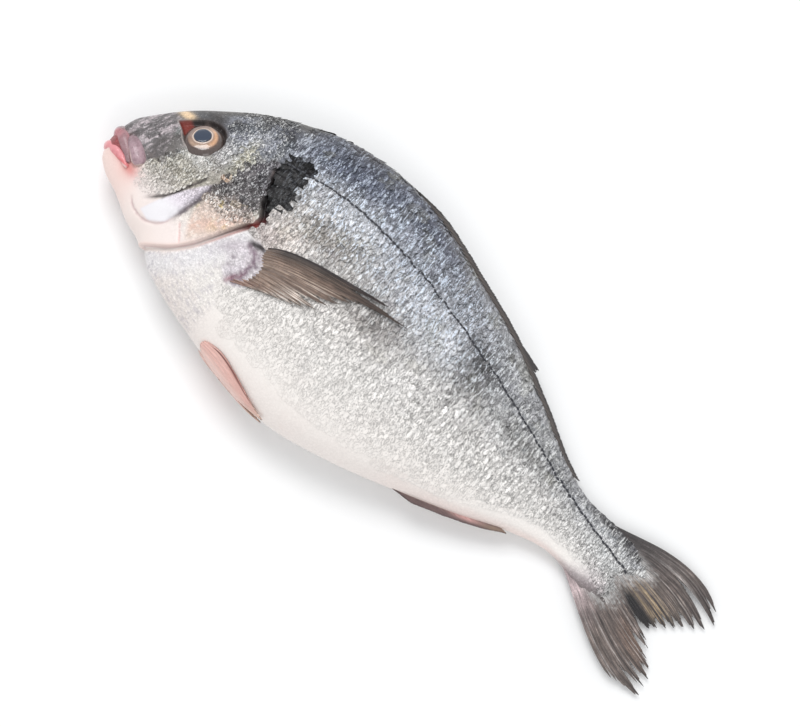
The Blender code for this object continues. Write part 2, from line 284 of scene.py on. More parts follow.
def laid(points, side=1):
    """Points of the straight fish, in mm, moved to where they lie on the table, in metres."""
    x, y, z = np.moveaxis(np.array(points, float), -1, 0)
    z = z * side
    over = np.clip(-z - PRESS_START, 0, None)
    pressed = PRESS_START + PRESS_DEPTH * (1 - np.exp(-over / PRESS_DEPTH))
    z = np.where(over > 0, -pressed, z) - SAG * ramp(SAG_START, SAG_END, x)
    z = np.maximum(z + REST_DEPTH, FLOOR_GAP)
    return np.stack((x - MIDDLE[0], y - MIDDLE[1], z), -1) * MM


def beside_line(x, y, line, steps=48):
    """Signed distance from a smooth line in the side view, and the share of the way along it."""
    ends = path_through(line)(np.linspace(0, 1, steps + 1))
    best = np.full(np.shape(x), 1e9)
    signed, where = np.zeros_like(best), np.zeros_like(best)
    for i, (a, b) in enumerate(zip(ends[:-1], ends[1:])):
        d = b - a
        t = np.clip(((x - a[0]) * d[0] + (y - a[1]) * d[1]) / (d @ d), 0, 1)
        px, py = x - a[0] - t * d[0], y - a[1] - t * d[1]
        gap = np.hypot(px, py)
        nearer = gap < best
        best = np.where(nearer, gap, best)
        signed = np.where(nearer, gap * np.sign(d[0] * py - d[1] * px), signed)
        where = np.where(nearer, (i + t) / steps, where)
    return signed, where


def bump(distance, width):
    return np.exp(-((distance / width) ** 2))


def facing(angle, degrees):
    """1 in a direction round a middle, and -1 on the far side."""
    return np.cos(angle - math.radians(degrees))


def along_middle(where, fade=0.15):
    """1 along a path and 0 at its two ends."""
    return ramp(0, fade, where) * ramp(1, 1 - fade, where)


def mottle(x, y, size, seed):
    """Soft even noise from -1 to 1 over the side view, with patches of a size in mm."""
    grid = np.random.default_rng(seed).uniform(-1, 1, (64, 64))
    u, v = np.asarray(x) / size + 500, np.asarray(y) / size + 500
    i, j = np.floor(u).astype(int), np.floor(v).astype(int)
    s, t = ramp(0, 1, u - i), ramp(0, 1, v - j)
    corner = [[grid[(i + a) % 64, (j + b) % 64] for b in (0, 1)] for a in (0, 1)]
    low = corner[0][0] * (1 - s) + corner[1][0] * s
    high = corner[0][1] * (1 - s) + corner[1][1] * s
    return low * (1 - t) + high * t


def gill_distance(x, y):
    """Distance ahead of the gill cover's edge, and how far along it."""
    ahead, along = beside_line(x, y, GILL_EDGE, 80)
    return -ahead, along


def socket_place(x, y):
    """Distance from the middle of the eye's socket, where 1 is its edge, and the angle there.

    The socket is an oval with one corner, which points forward."""
    dx, dy = x - SOCKET[0], y - SOCKET[1]
    cosine, sine = math.cos(SOCKET_TURN), math.sin(SOCKET_TURN)
    long = (dx * cosine + dy * sine) / SOCKET_SIZE[0]
    tall = (dy * cosine - dx * sine) / SOCKET_SIZE[1]
    angle = np.arctan2(tall, long)
    off = np.abs(np.angle(np.exp(1j * (angle - SOCKET_CORNER))))
    lower = np.sin(angle - SOCKET_CORNER) > 0
    corner = np.exp(-((off / np.where(lower, 0.24, 0.34)) ** 1.3))
    return np.hypot(long, tall) / (1 + 0.47 * corner), angle


def shoulder_place(x, y):
    """Distance from the middle of the fleshy root of the pectoral fin, where 1 is its edge."""
    ragged = 0.06 * mottle(x, y, 2.6, 61)
    return np.hypot((x - SHOULDER[0]) / SHOULDER_SIZE[0], (y - SHOULDER[1]) / SHOULDER_SIZE[1]) + ragged


def bare_shoulder(x, y):
    """1 on the smooth skin between the gill cover and the root of the pectoral fin."""
    return ramp(72, 69, x) * ramp(12.5, 10.5, y + 0.2 * (x - 58))


def head_relief(points):
    """How far the real head stands out from the smooth one, in the normal's direction."""
    x, y = points[..., 0], points[..., 1]
    ahead, along = gill_distance(x, y)
    strength = ramp(0.0, 0.12, along)
    cover = GILL_STEP * np.exp(-np.clip(ahead, 0, None) / GILL_FADE) * ramp(-0.5, 0.25, ahead)
    slit = -GILL_SLIT * bump(ahead + 1.1, 0.9) * (1 - 0.6 * ramp(0.42, 0.55, along))
    rise = strength * (cover + slit)
    for line, depth, width, *_ in HEAD_LINES:
        beside, where = beside_line(x, y, line)
        rise = rise - depth * along_middle(where) * bump(beside, width)
    beside, where = beside_line(x, y, FLANGE_LINE)
    rise = rise + 0.7 * along_middle(where) * bump(beside - 3.0, 2.4)

    radius, angle = socket_place(x, y)
    rise = rise + 0.3 * bump(radius - 1.07, 0.07) * ramp(0.3, 0.7, facing(angle, 205))
    rise = rise - 2.0 * ramp(1.02, 0.86, radius)
    for nx, ny, size in NOSTRILS:
        away = np.hypot(x - nx, (y - ny) * 1.3) / size
        rise = rise + 0.2 * bump(away - 1.3, 0.4) - 0.7 * bump(away, 0.7)
    return rise + SHOULDER_RISE * ramp(1.15, 0.45, shoulder_place(x, y))


def bent_to_gill(x, share):
    """Bends the sections near the gill cover, so that one of them runs along its edge."""
    edge_x, edge_y = np.transpose(GILL_EDGE)
    widest = edge_x.max()
    edge_at = curve_through(list(zip(edge_y, edge_x))[::-1])
    edge = np.full(np.shape(x), widest)
    for _ in range(4):
        edge = edge_at(np.clip(belly(edge) + share * (back(edge) - belly(edge)), edge_y[-1], edge_y[0]))
    pull = ramp(NOSE, widest, x) * ramp(115, widest + 3, x)
    return x + (edge - widest) * pull


# Paint


def tone(red, green, blue):
    """A colour given on a screen, 0 to 255, as the linear light that a shader takes."""
    screen = np.array((red, green, blue), float) / 255
    return np.where(screen < 0.04045, screen / 12.92, ((screen + 0.055) / 1.055) ** 2.4)


def coat(places, colour):
    """One colour over an array of places."""
    return np.broadcast_to(tone(*colour), (*places.shape, 3)).copy()


def blend(first, second, mask):
    """The first paint where the mask is 0 and the second where it is 1."""
    return first + (second - first) * np.clip(mask, 0, 1)[..., None]


def lay(paint, colour, mask):
    """Lays a colour over the paint where the mask is."""
    paint[:] = blend(paint, tone(*colour), mask)


def oval(x, y, middle_x, middle_y, wide, tall):
    """1 in the middle of an oval, fading outwards."""
    return bump(np.hypot((x - middle_x) / wide, (y - middle_y) / tall), 1)


def spread(share, stops):
    """A colour for each share, between named stops."""
    places = [place for place, *_ in stops]
    tones = np.transpose([tone(*colour) for _, *colour in stops])
    return np.stack([np.interp(share, places, levels) for levels in tones], -1)


# A share of the height from the belly (0) to the back (1), and the colour there
FLANK_STOPS = (
    (0.0, 241, 232, 227),
    (0.12, 243, 237, 232),
    (0.32, 240, 236, 232),
    (0.48, 229, 224, 220),
    (0.62, 203, 201, 200),
    (0.72, 190, 191, 195),
    (0.80, 161, 164, 173),
    (0.87, 132, 136, 149),
    (0.95, 112, 114, 124),
    (1.0, 92, 88, 90),
)
HEAD_STOPS = (
    (0.0, 240, 226, 220),
    (0.18, 240, 228, 224),
    (0.3, 234, 226, 219),
    (0.4, 190, 184, 171),
    (0.55, 168, 163, 152),
    (0.68, 140, 140, 138),
    (0.82, 112, 115, 122),
    (0.93, 96, 96, 98),
    (1.0, 92, 88, 84),
)
# Patches of the flank: colour, strength, place (x and share of the height) and size
FLANK_PATCHES = (
    ((247, 243, 239), 0.75, 190, 0.38, 55, 0.14),
    ((84, 91, 112), 0.7, 78, 0.86, 22, 0.07),
    ((98, 103, 124), 0.4, 118, 0.93, 30, 0.05),
    # painted highlights on the silver flank: this patch and the next, along the bright band near 0.7 of
    # the height
    ((224, 227, 236), 0.9, 138, 0.69, 22, 0.08),
    ((228, 230, 236), 0.9, 94, 0.735, 15, 0.055),
    ((142, 136, 133), 0.8, 88, 0.58, 12, 0.06),
    ((150, 138, 138), 0.75, 75, 0.37, 6, 0.07),
    ((166, 162, 162), 0.5, 98, 0.64, 18, 0.06),
    # painted highlight on the same bright band
    ((242, 243, 247), 0.85, 146, 0.67, 13, 0.08),
    ((186, 189, 198), 0.6, 120, 0.815, 28, 0.05),
    ((176, 176, 174), 0.5, 206, 0.87, 16, 0.06),
    ((86, 84, 84), 0.9, 162, 0.75, 11, 0.1),
    ((126, 124, 120), 0.7, 196, 0.67, 20, 0.07),
    ((112, 109, 106), 0.65, 162, 0.62, 9, 0.07),
    ((128, 124, 123), 0.5, 124, 0.56, 14, 0.06),
    ((140, 138, 133), 0.4, 198, 0.76, 20, 0.08),
    ((226, 223, 220), 0.7, 222, 0.45, 24, 0.22),
    ((212, 198, 190), 0.7, 74, 0.5, 9, 0.1),
    ((168, 162, 152), 0.5, 84, 0.6, 14, 0.05),
    ((134, 128, 125), 0.75, 119, 0.51, 12, 0.06),
)
# How strongly the pattern shows: at shares of the height, and on the gill cover at heights
FLANK_CONTRAST = (
    (0.15, 0.3, 0.45, 0.6, 0.72, 0.85, 0.93, 1),
    (0.08, 0.34, 0.62, 0.8, 0.9, 1.0, 0.85, 0.5),
)
HEAD_CONTRAST = ((0.2, 0.36, 0.7, 1), (0.06, 0.8, 0.95, 0.7))
COVER_CONTRAST = ((-2, 4, 10, 20), (0.3, 0.6, 1.1, 1.3))
# Outlines of parts of the head and body in the side view, anticlockwise
SNOUT = [(-3, 4), (15.6, 5.0), (24.0, 19.5), (15.5, 26.5), (12, 40), (-6, 30)]
SHEEN = [(13.5, 8), (20.4, 8.6), (25.0, 20.0), (20, 24.0), (13.5, 15.5)]
PLATE = [
    (25, -8.6),
    (31, -10.4),
    (36.6, -7.4),
    (40.5, 6),
    (42, 17),
    (38.6, 16),
    (32.6, 4),
    (28.2, -1.2),
]
COVER = [(41.8, 2), (47, -8), (53, -1), (61, 13), (59, 24), (55, 38), (47, 31), (43.5, 18)]
DULL_COVER = [(43, 16), (56, 12), (61, 16), (55, 38), (46, 30)]


def body_paint(x, y):
    """The trunk's own colour and how strongly its scales differ, over the side view."""
    share = share_at(x, y)
    wander = 0.03 * mottle(x, y, 11, 1) + 0.015 * mottle(x, y, 4, 2)
    paint = spread(share + wander, FLANK_STOPS)

    rear = ramp(130, 175, x)
    upper = ramp(0.78, 0.86, share) * ramp(1.0, 0.95, share)
    lay(paint, (162, 162, 165), 0.8 * rear * upper)
    lay(paint, (242, 242, 244), 0.32 * ramp(110, 145, x) * ramp(0.25, 0.45, share))
    for colour, strength, *place in FLANK_PATCHES:
        lay(paint, colour, strength * oval(x, share, *place))
    olive = ramp(0.35, 0.9, mottle(x, y, 6, 5))
    lay(paint, (150, 146, 118), 0.25 * olive * ramp(0.35, 0.5, share))
    lay(paint, (238, 214, 206), 0.5 * ramp(0.09, 0, share) * ramp(150, 190, x))
    lay(paint, (228, 228, 228), 0.9 * oval(x, share, 248, 0.64, 17, 0.25))
    lay(paint, (192, 176, 174), 0.6 * oval(x, y, 69.5, 12.0, 4.5, 4.0))
    contrast = np.interp(share, *FLANK_CONTRAST)
    contrast *= 1 + 0.35 * rear * ramp(0.7, 0.4, share)
    contrast *= 1 + 0.25 * mottle(x, y, 9, 3)
    return paint, contrast


def within(x, y, corners, soft):
    """1 inside a convex outline in the side view, given anticlockwise, and 0 a little outside."""
    inside = np.ones(np.shape(x))
    for (ax, ay), (bx, by) in zip(corners, corners[1:] + corners[:1]):
        dx, dy = bx - ax, by - ay
        depth = (dx * (y - ay) - dy * (x - ax)) / math.hypot(dx, dy)
        inside = inside * ramp(-soft, soft, depth)
    return inside


def head_wander(x, y):
    """Noise by which the borders between the head's colours wander."""
    return mottle(x, y, 5, 11) + 0.5 * mottle(x, y, 2, 12)


def head_paint(x, y):
    """The head's own colour and how mottled it is, over the side view.

    Each part changes the paint and the contrast in place."""
    share = share_at(x, y)
    paint = spread(share + 0.02 * head_wander(x, y), HEAD_STOPS)
    contrast = np.interp(share, *HEAD_CONTRAST)
    for part in (snout_paint, crown_paint, plate_paint, cover_paint, gold_paint, mouth_paint):
        part(x, y, paint, contrast)
    return paint, contrast


def snout_paint(x, y, paint, contrast):
    """The streaked snout, with its dark sheen below the nostrils."""
    snout = within(x, y, SNOUT, 0.8)
    lay(paint, (121, 117, 118), snout)
    contrast *= 1 - 0.15 * snout
    streaks = snout * mottle((x - 0.35 * y) * 1.5, y * 0.4, 1.5, 17)
    streaks = streaks + 0.7 * snout * mottle((x - 0.35 * y) * 1.5, y * 0.5, 0.6, 18)
    lay(paint, (200, 188, 192), 0.85 * ramp(0.0, 0.8, streaks) * ramp(8, 12, y))
    lay(paint, (84, 78, 80), 0.7 * ramp(-0.1, -0.8, streaks))
    sheen = within(x, y, SHEEN, 1.0)
    lay(paint, (80, 74, 74), 0.9 * sheen * (1 - 0.5 * ramp(0.1, 0.8, streaks)))
    contrast *= 1 - 0.3 * sheen


def crown_paint(x, y, paint, contrast):
    """Patches of the nape, the brow and the cheek."""
    nape = ramp(30, 36, y + 0.35 * (x - 30)) * ramp(24, 32, x) * ramp(0.97, 0.9, share_at(x, y))
    lay(paint, (162, 165, 176), 0.85 * nape * ramp(-0.5, 0.2, mottle(x, y, 4, 19)))
    lay(paint, (62, 62, 68), 0.9 * oval(x, y, 50, 50, 6.5, 4.5))
    brow = oval(x, y, 25, 37, 7, 3.0)
    lay(paint, (66, 62, 62), 0.9 * brow)
    below_eye = oval(x, y, 30.5, 18.6, 6.5, 2.8)
    lay(paint, (226, 223, 219), 0.8 * below_eye)
    behind_eye = oval(x, y, 36.5, 26.5, 3.6, 4.5)
    lay(paint, (210, 207, 208), 0.9 * behind_eye)
    yellow = bump(np.hypot((x - 43.6 + (y - 30) * 0.05) / 2.4, (y - 30) / 8.5), 1)
    lay(paint, (214, 207, 184), 0.75 * yellow)
    low_cheek = oval(x, y, 26, 5.0, 5, 3.0) + oval(x, y, 38, 19, 3.4, 3.0)
    lay(paint, (158, 150, 142), 0.6 * low_cheek)
    olive = oval(x, y, 46.3, 29, 2.0, 2.2)
    lay(paint, (140, 142, 112), 0.5 * olive)


def plate_paint(x, y, paint, contrast):
    """The smooth plate between the cheek and the gill cover."""
    plate = within(x, y, PLATE, 0.6)
    lay(paint, (228, 220, 229), 0.95 * plate)
    lay(paint, (238, 236, 239), 0.9 * plate * ramp(2.5, -3, y))
    contrast *= 1 - 0.7 * plate * ramp(5, -1, y)
    lay(paint, (104, 92, 108), 0.4 * plate * ramp(0.2, 0.9, mottle(x, y, 1.4, 23)) * ramp(2, 8, y))


def cover_paint(x, y, paint, contrast):
    """The gill cover, dark above and flesh-coloured with golden flecks below."""
    cover = within(x, y, COVER, 1.5)
    wander = head_wander(x, y)
    low_cover = cover * ramp(17, 7, y - 0.15 * (x - 50) + 1.2 * wander)
    lay(paint, (88, 82, 87), 0.9 * cover * ramp(8, 13, y + 1.5 * wander))
    lay(paint, (220, 199, 187), 0.9 * low_cover)
    contrast[:] = np.where(cover > 0.5, np.interp(y, *COVER_CONTRAST), contrast)
    flecks = ramp(0.35, 0.7, mottle(x, y, 2.2, 21)) * cover * bump(y - 8, 6)
    lay(paint, (214, 188, 112), 0.7 * flecks)
    lay(paint, (226, 184, 166), 0.5 * low_cover * bump(y - 5 - 0.9 * (x - 53), 3.5))
    pale = ramp(0.1, 0.8, mottle(x, y, 1.0, 24)) * low_cover
    lay(paint, (248, 238, 230), 0.6 * pale)
    orange = oval(x, y, 43.6, 18.6, 1.0, 1.6)
    lay(paint, (196, 150, 112), 0.8 * orange)


def gold_paint(x, y, paint, contrast):
    """The golden spot in front of the eye."""
    gold = oval(x, y, 15.4, 30.4, 3.2, 1.7)
    lay(paint, (236, 206, 168), np.clip(1.6 * gold, 0, 1))
    contrast *= 1 - 0.5 * gold


def mouth_paint(x, y, paint, contrast):
    """The flushed skin round the mouth, the chin and the smooth throat."""
    flush = oval(x, y, 12.5, -1.0, 4.4, 3.4)
    lay(paint, (212, 124, 118), 0.85 * flush)
    lip_root = oval(x, y, 8, 1.0, 5.0, 2.4)
    lay(paint, (228, 132, 128), 0.7 * lip_root)
    gape = ramp(8.5, 6.5, x) * bump(y - 4.8, 3.4)
    lay(paint, (160, 88, 90), np.clip(1.6 * gape, 0, 1))
    chin = ramp(2, -2, y + 0.3 * (x - 6)) * ramp(24, 12, x)
    lay(paint, (242, 214, 206), 0.7 * chin)
    throat = ramp(-3, -7, y + 0.25 * (x - 20)) * (x > 8)
    contrast *= 1 - 0.85 * throat


def dark_blotch(x, y):
    """1 on the dark blotch behind the gill, whose edge is ragged."""
    astray_x, astray_y = (2.2 * mottle(x, y, 2.6, seed) for seed in (36, 37))
    edge = within(x + astray_x, y + astray_y, BLOTCH, 3.0)
    return ramp(0.25, 0.8, edge * (1 + 0.4 * mottle(x, y, 3.2, 33)))


def slits_paint(x, y, paint, contrast):
    """The slits and seams of the head."""
    ragged = 1 + 0.5 * mottle(x, y, 1.0, 31)
    for line, _, _, colour, strength, width in HEAD_LINES:
        beside, where = beside_line(x, y, line)
        lay(paint, colour, strength * along_middle(where, 0.2) * bump(beside, width * ragged))


def blotch_paint(x, y, paint, contrast):
    """The dark blotch behind the gill."""
    blotch = dark_blotch(x, y)
    lay(paint, (20, 18, 20), 0.99 * blotch)
    contrast += (1.1 - contrast) * blotch


def gill_paint(x, y, paint, contrast):
    """The gill cover's edge with its slit, dark above and red below, and the pale skin behind it.
    The near-black just behind the upper edge is painted shade in the deep slit.
    """
    ahead, along = gill_distance(x, y)
    on_edge = ramp(0.05, 0.14, along)
    upper = ramp(0.42, 0.36, along)
    # painted shade: near-black in the deep upper slit just behind the edge
    lay(paint, (26, 22, 25), 0.97 * on_edge * upper * np.clip(1.3 * bump(ahead + 1.5, 1.5), 0, 1))
    contrast *= 1 - 0.8 * on_edge * bump(ahead + 1.2, 1.5)
    lay(paint, (56, 49, 50), 0.8 * on_edge * upper * bump(ahead - 0.5, 0.9))
    lower = ramp(0.36, 0.45, along) * ramp(0.86, 0.5, along)
    lay(paint, (64, 38, 37), 0.95 * lower * bump(ahead + 0.7, 0.3 + 0.35 * ramp(0.65, 0.45, along)))
    lay(paint, (206, 140, 136), 0.7 * lower * bump(ahead + 1.7, 0.6))
    faint = ramp(0.6, 0.75, along) * ramp(1.0, 0.9, along)
    lay(paint, (196, 158, 158), 0.6 * faint * bump(ahead + 0.6, 0.35))
    corner = bump(along - 0.41, 0.04)
    lay(paint, (206, 98, 94), 0.85 * corner * bump(ahead + 1.4, 1.4))
    rim = ramp(0.45, 0.6, along) * bump(ahead - 0.3, 0.7)
    lay(paint, (230, 186, 172), 0.35 * rim)
    behind = ramp(-1.5, -3.5, ahead) * ramp(-14, -6, ahead) * ramp(0.4, 0.5, along)
    lay(paint, (236, 234, 237), 0.7 * behind)
    contrast *= 1 - 0.5 * behind


def shoulder_paint(x, y, paint, contrast):
    """The fleshy root of the pectoral fin, its fold and the smooth skin before it."""
    ahead, along = gill_distance(x, y)
    granular = mottle(x, y, 0.8, 63) + 0.7 * mottle(x, y, 0.45, 64)
    smooth_shoulder = ramp(-1.5, -2.5, ahead) * ramp(0.4, 0.5, along) * bare_shoulder(x, y)
    lay(paint, (190, 184, 192), 0.5 * smooth_shoulder * ramp(0.1, 0.9, granular))
    hollow = bump(np.hypot((x - 62.5) / 5.5, (y - 1.5 - 0.6 * (x - 62)) / 3.6), 1)
    lay(paint, (184, 174, 182), 0.85 * smooth_shoulder * hollow)
    fleshy = ramp(1.1, 0.9, shoulder_place(x, y))
    lay(paint, (226, 220, 224), 0.8 * fleshy)
    lay(paint, (142, 127, 138), 0.65 * fleshy * ramp(-0.2, 0.8, granular))
    beside, where = beside_line(x, y, FOLD_LINE)
    lay(paint, (222, 214, 220), 0.8 * fleshy * bump(beside + 3.0, 1.6))
    lay(paint, (122, 98, 114), 0.85 * along_middle(where, 0.1) * bump(beside, 1.3 + 0.5 * granular))
    lay(paint, (158, 104, 116), 0.7 * ramp(0.6, 0.95, where) * bump(beside, 0.9))
    contrast += (0.5 - contrast) * np.maximum(fleshy, 0.6 * smooth_shoulder)
    # painted shade: the near-black notch where the fin's upper edge meets the fleshy root
    notch = bump(np.hypot((x - 69.5) / 3.6, (y - 7.4 - 0.1 * (x - 70)) / 1.1), 1)
    lay(paint, (34, 26, 29), 0.97 * np.clip(1.6 * notch, 0, 1))


def socket_paint(x, y, paint, contrast):
    """The eye's socket, with its lid, its red front corner and its pale lower rim."""
    radius, angle = socket_place(x, y)
    inside = ramp(1.04, 0.94, radius)
    lay(paint, (104, 94, 90), 0.9 * inside)
    lay(paint, (60, 50, 48), 0.85 * inside * ramp(0.98, 0.8, radius))
    shade = ramp(1.22, 1.0, radius) * ramp(-0.3, 0.5, facing(angle, 40))
    lay(paint, (66, 59, 58), 0.7 * shade)
    lid = inside * ramp(0.3, 0.7, facing(angle, 70))
    lay(paint, (44, 38, 37), 0.9 * lid)
    red = inside * ramp(0.86, 0.95, facing(angle, 147))
    lay(paint, (132, 58, 50), 0.95 * red)
    low_rim = bump(radius - 1.06, 0.03) * ramp(0.2, 0.5, facing(angle, 195))
    lay(paint, (206, 192, 186), 0.45 * low_rim)
    contrast *= 1 - 0.6 * ramp(1.15, 1.0, radius)


def nostrils_paint(x, y, paint, contrast):
    """Two nostrils, dark with painted shade in their pits."""
    for nx, ny, size in NOSTRILS:
        away = np.hypot(x - nx, (y - ny) * 1.3) / size
        # painted shade in each nostril's pit
        lay(paint, (56, 50, 50), 0.8 * bump(away, 0.8))


def tail_end_paint(x, y, paint, contrast):
    """Where the silver scales give way to the tail fin, with a dark upper edge."""
    share = share_at(x, y)
    soft = 1.5 + 7 * ramp(0.3, 0.0, share)
    past = x - tail_reach(share)
    lay(paint, (206, 194, 198), 0.65 * ramp(-16, -3, past) * ramp(0.5, 0.2, share))
    lay(paint, (142, 131, 133), ramp(-2.2 * soft, 0, past) * ramp(0.4, 0.1, share))
    lay(paint, (184, 183, 182), ramp(-2, 1, past) * ramp(0.1, 0.3, share))
    lay(paint, (114, 106, 103), ramp(-0.6 * soft, soft, past) * ramp(0.3, 0.15, share))
    top = ramp(216, 242, x) * ramp(0.76, 0.98, share + 0.04 * mottle(x, y, 2, 35))
    lay(paint, (62, 59, 61), 0.9 * top)
    contrast += 0.3 * ramp(-16, -3, past) * ramp(0.5, 0.2, share)


def fish_paint(x, y):
    """Colour and contrast anywhere on the body, with the head's blended in at the gill cover."""
    body, body_contrast = body_paint(x, y)
    head, head_contrast = head_paint(x, y)
    ahead, along = gill_distance(x, y)
    on_head = ramp(-1.2, 0.2, ahead) * ramp(74, 58, x)
    on_head = np.where(along < 0.03, ramp(66, 50, x), on_head)
    paint = blend(body, head, on_head)
    contrast = body_contrast + (head_contrast - body_contrast) * on_head
    details = (slits_paint, blotch_paint, gill_paint, shoulder_paint, socket_paint, nostrils_paint)
    for detail in (*details, tail_end_paint):
        detail(x, y, paint, contrast)
    return paint, contrast


# The meshes


def store(mesh, **values):
    """Writes numbers, vectors and, as tint, colours for the points of a mesh."""
    count = len(mesh.vertices)
    for name, value in values.items():
        value = np.asarray(value, float)
        if value.size == count:
            mesh.attributes.new(name, "FLOAT", "POINT").data.foreach_set("value", value.ravel())
        elif name == "tint":
            rgba = np.hstack((value.reshape(-1, 3), np.ones((count, 1))))
            mesh.attributes.new(name, "FLOAT_COLOR", "POINT").data.foreach_set("color", rgba.ravel())
        else:
            mesh.attributes.new(name, "FLOAT_VECTOR", "POINT").data.foreach_set("vector", value.ravel())


def points_mesh(name, places, **values):
    """A mesh of loose points with named values."""
    mesh = bpy.data.meshes.new(name)
    mesh.from_pydata(places, [], [])
    store(mesh, **values)
    return mesh


def new_object(name, data):
    made = bpy.data.objects.new(name, data)
    bpy.context.scene.collection.objects.link(made)
    return made


def grid_mesh(name, points, closed=False):
    """A mesh of quads over an array of points, whose rows may close on themselves."""
    rows, columns = points.shape[:2]
    index = np.arange(rows * columns).reshape(rows, columns)
    if closed:
        index = np.concatenate((index, index[:, :1]), 1)
    faces = np.stack((index[:-1, :-1], index[1:, :-1], index[1:, 1:], index[:-1, 1:]), -1)
    mesh = bpy.data.meshes.new(name)
    mesh.from_pydata(points.reshape(-1, 3), [], faces.reshape(-1, 4))
    return mesh


def mended(mesh, merge=0.002):
    """Merges a mesh's doubled points and turns its faces outwards."""
    shape = bmesh.new()
    shape.from_mesh(mesh)
    bmesh.ops.remove_doubles(shape, verts=shape.verts, dist=merge * MM)
    shape.normal_update()
    bmesh.ops.recalc_face_normals(shape, faces=shape.faces)
    shape.to_mesh(mesh)
    shape.free()
    mesh.shade_smooth()
    return mesh


def plain(made):
    """The object with its modifiers turned into plain mesh, kept off the table's surface."""
    bpy.context.view_layer.update()
    evaluated = made.evaluated_get(bpy.context.evaluated_depsgraph_get())
    mesh = bpy.data.meshes.new_from_object(evaluated)
    made.modifiers.clear()
    old = made.data
    made.data = mesh
    bpy.data.meshes.remove(old)
    mesh.name = made.name
    places = np.empty(len(mesh.vertices) * 3)
    mesh.vertices.foreach_get("co", places)
    places[2::3] = np.maximum(places[2::3], FLOOR_GAP * MM)
    mesh.vertices.foreach_set("co", places)
    mesh.shade_smooth()
    return made


def finished(made, material=None):
    """Says what a finished piece stands for and whose finish it takes."""
    if material:
        made.data.materials.clear()
        made.data.materials.append(material)
    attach(made, "root")
    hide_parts("fish")


# The node trees


class Value:
    """A socket of a node tree. Python's operators on it add the Math nodes that work them out."""

    def __init__(self, tree, socket):
        self.tree, self.socket = tree, socket

    def math(self, operation, *others):
        return add_node(self.tree, "ShaderNodeMath", {"operation": operation}, self, *others)

    def __add__(self, other):
        return self.math("ADD", other)

    def __mul__(self, other):
        return self.math("MULTIPLY", other)

    def __sub__(self, other):
        return self.math("SUBTRACT", other)

    def __rsub__(self, other):
        return self * -1 + other

    def __pow__(self, other):
        return self.math("POWER", other)

    def absolute(self):
        return self.math("ABSOLUTE")


def add_node(tree, kind, settings=None, *values, out=0, **named):
    """A node with its settings made first, then its sockets fed by order or by identifier."""
    node = tree.nodes.new(kind)
    for key, value in (settings or {}).items():
        setattr(node, key, value)
    for socket, value in zip([s for s in node.inputs if s.enabled], values):
        feed(tree, socket, value)
    inputs = {s.identifier.replace(" ", "_"): s for s in node.inputs}
    for name, value in named.items():
        feed(tree, inputs[name], value)
    return Value(tree, [s for s in node.outputs if s.enabled][out])


def feed(tree, socket, value):
    if isinstance(value, Value):
        tree.links.new(value.socket, socket)
    else:
        socket.default_value = value


class Finish:
    """One material, with short names for the nodes that its look is built from."""

    def __init__(self, name):
        self.material = bpy.data.materials.new(name)
        self.material.use_nodes = True
        self.tree = self.material.node_tree
        self.shader = self.tree.nodes["Principled BSDF"]
        self.place = self.add("ShaderNodeTexCoord", out=3)

    def add(self, kind, settings=None, *values, out=0, **named):
        return add_node(self.tree, kind, settings, *values, out=out, **named)

    def attribute(self, name, colour=False):
        return self.add("ShaderNodeAttribute", {"attribute_name": name}, out=0 if colour else 2)

    def stretched(self, x, y, z, turn=0.0):
        """Object coordinates in mm, squeezed so that a pattern is this long along each axis."""
        sizes = {"Rotation": (0, 0, turn), "Scale": (1 / (x * MM), 1 / (y * MM), 1 / (z * MM))}
        return self.add("ShaderNodeMapping", {"vector_type": "POINT"}, Vector=self.place, **sizes)

    def noise(self, place, detail=3.0, rough=0.55, distortion=0.0):
        """Noise about 0, mostly from -1 to 1. place may also be the length of its patches in mm."""
        if isinstance(place, tuple):
            place = self.stretched(*place)
        sizes = {"Scale": 1.0, "Detail": detail, "Roughness": rough, "Distortion": distortion}
        return (self.add("ShaderNodeTexNoise", None, Vector=place, **sizes) - 0.5) * 4.0

    def cells(self, x, y, z):
        """Distance from the middle of the nearest of many cells, this long along each axis."""
        sizes = {"Scale": 1.0, "Randomness": 0.9}
        place = self.stretched(x, y, z)
        return self.add("ShaderNodeTexVoronoi", {"feature": "F1"}, Vector=place, **sizes)

    def ramp(self, value, low, high):
        """0 at low and 1 at high, with a soft change between."""
        sizes = {"From_Min": low, "From_Max": high}
        return self.add("ShaderNodeMapRange", {"interpolation_type": "SMOOTHSTEP"}, Value=value, **sizes)

    def tinted(self, pattern):
        """The piece's own colour, made lighter or darker by a pattern about 0."""
        factor = self.add("ShaderNodeMath", {"operation": "POWER"}, math.e, pattern)
        tint = self.attribute("tint", True)
        return self.add("ShaderNodeVectorMath", {"operation": "SCALE"}, tint, Scale=factor)

    def mixed(self, factor, first, second):
        """Two colours mixed by a factor."""
        colours = {"A_Color": first, "B_Color": second}
        return self.add("ShaderNodeMix", {"data_type": "RGBA"}, Factor_Float=factor, **colours)

    def relief(self, height, size, strength):
        """Fine relief, a height of 1 standing this many mm proud."""
        bumped = self.add("ShaderNodeBump", None, Strength=strength, Distance=size * MM, Height=height)
        feed(self.tree, self.shader.inputs["Normal"], bumped)

    def set(self, **sockets):
        for name, value in sockets.items():
            feed(self.tree, self.shader.inputs[name.replace("_", " ")], value)
        return self.material


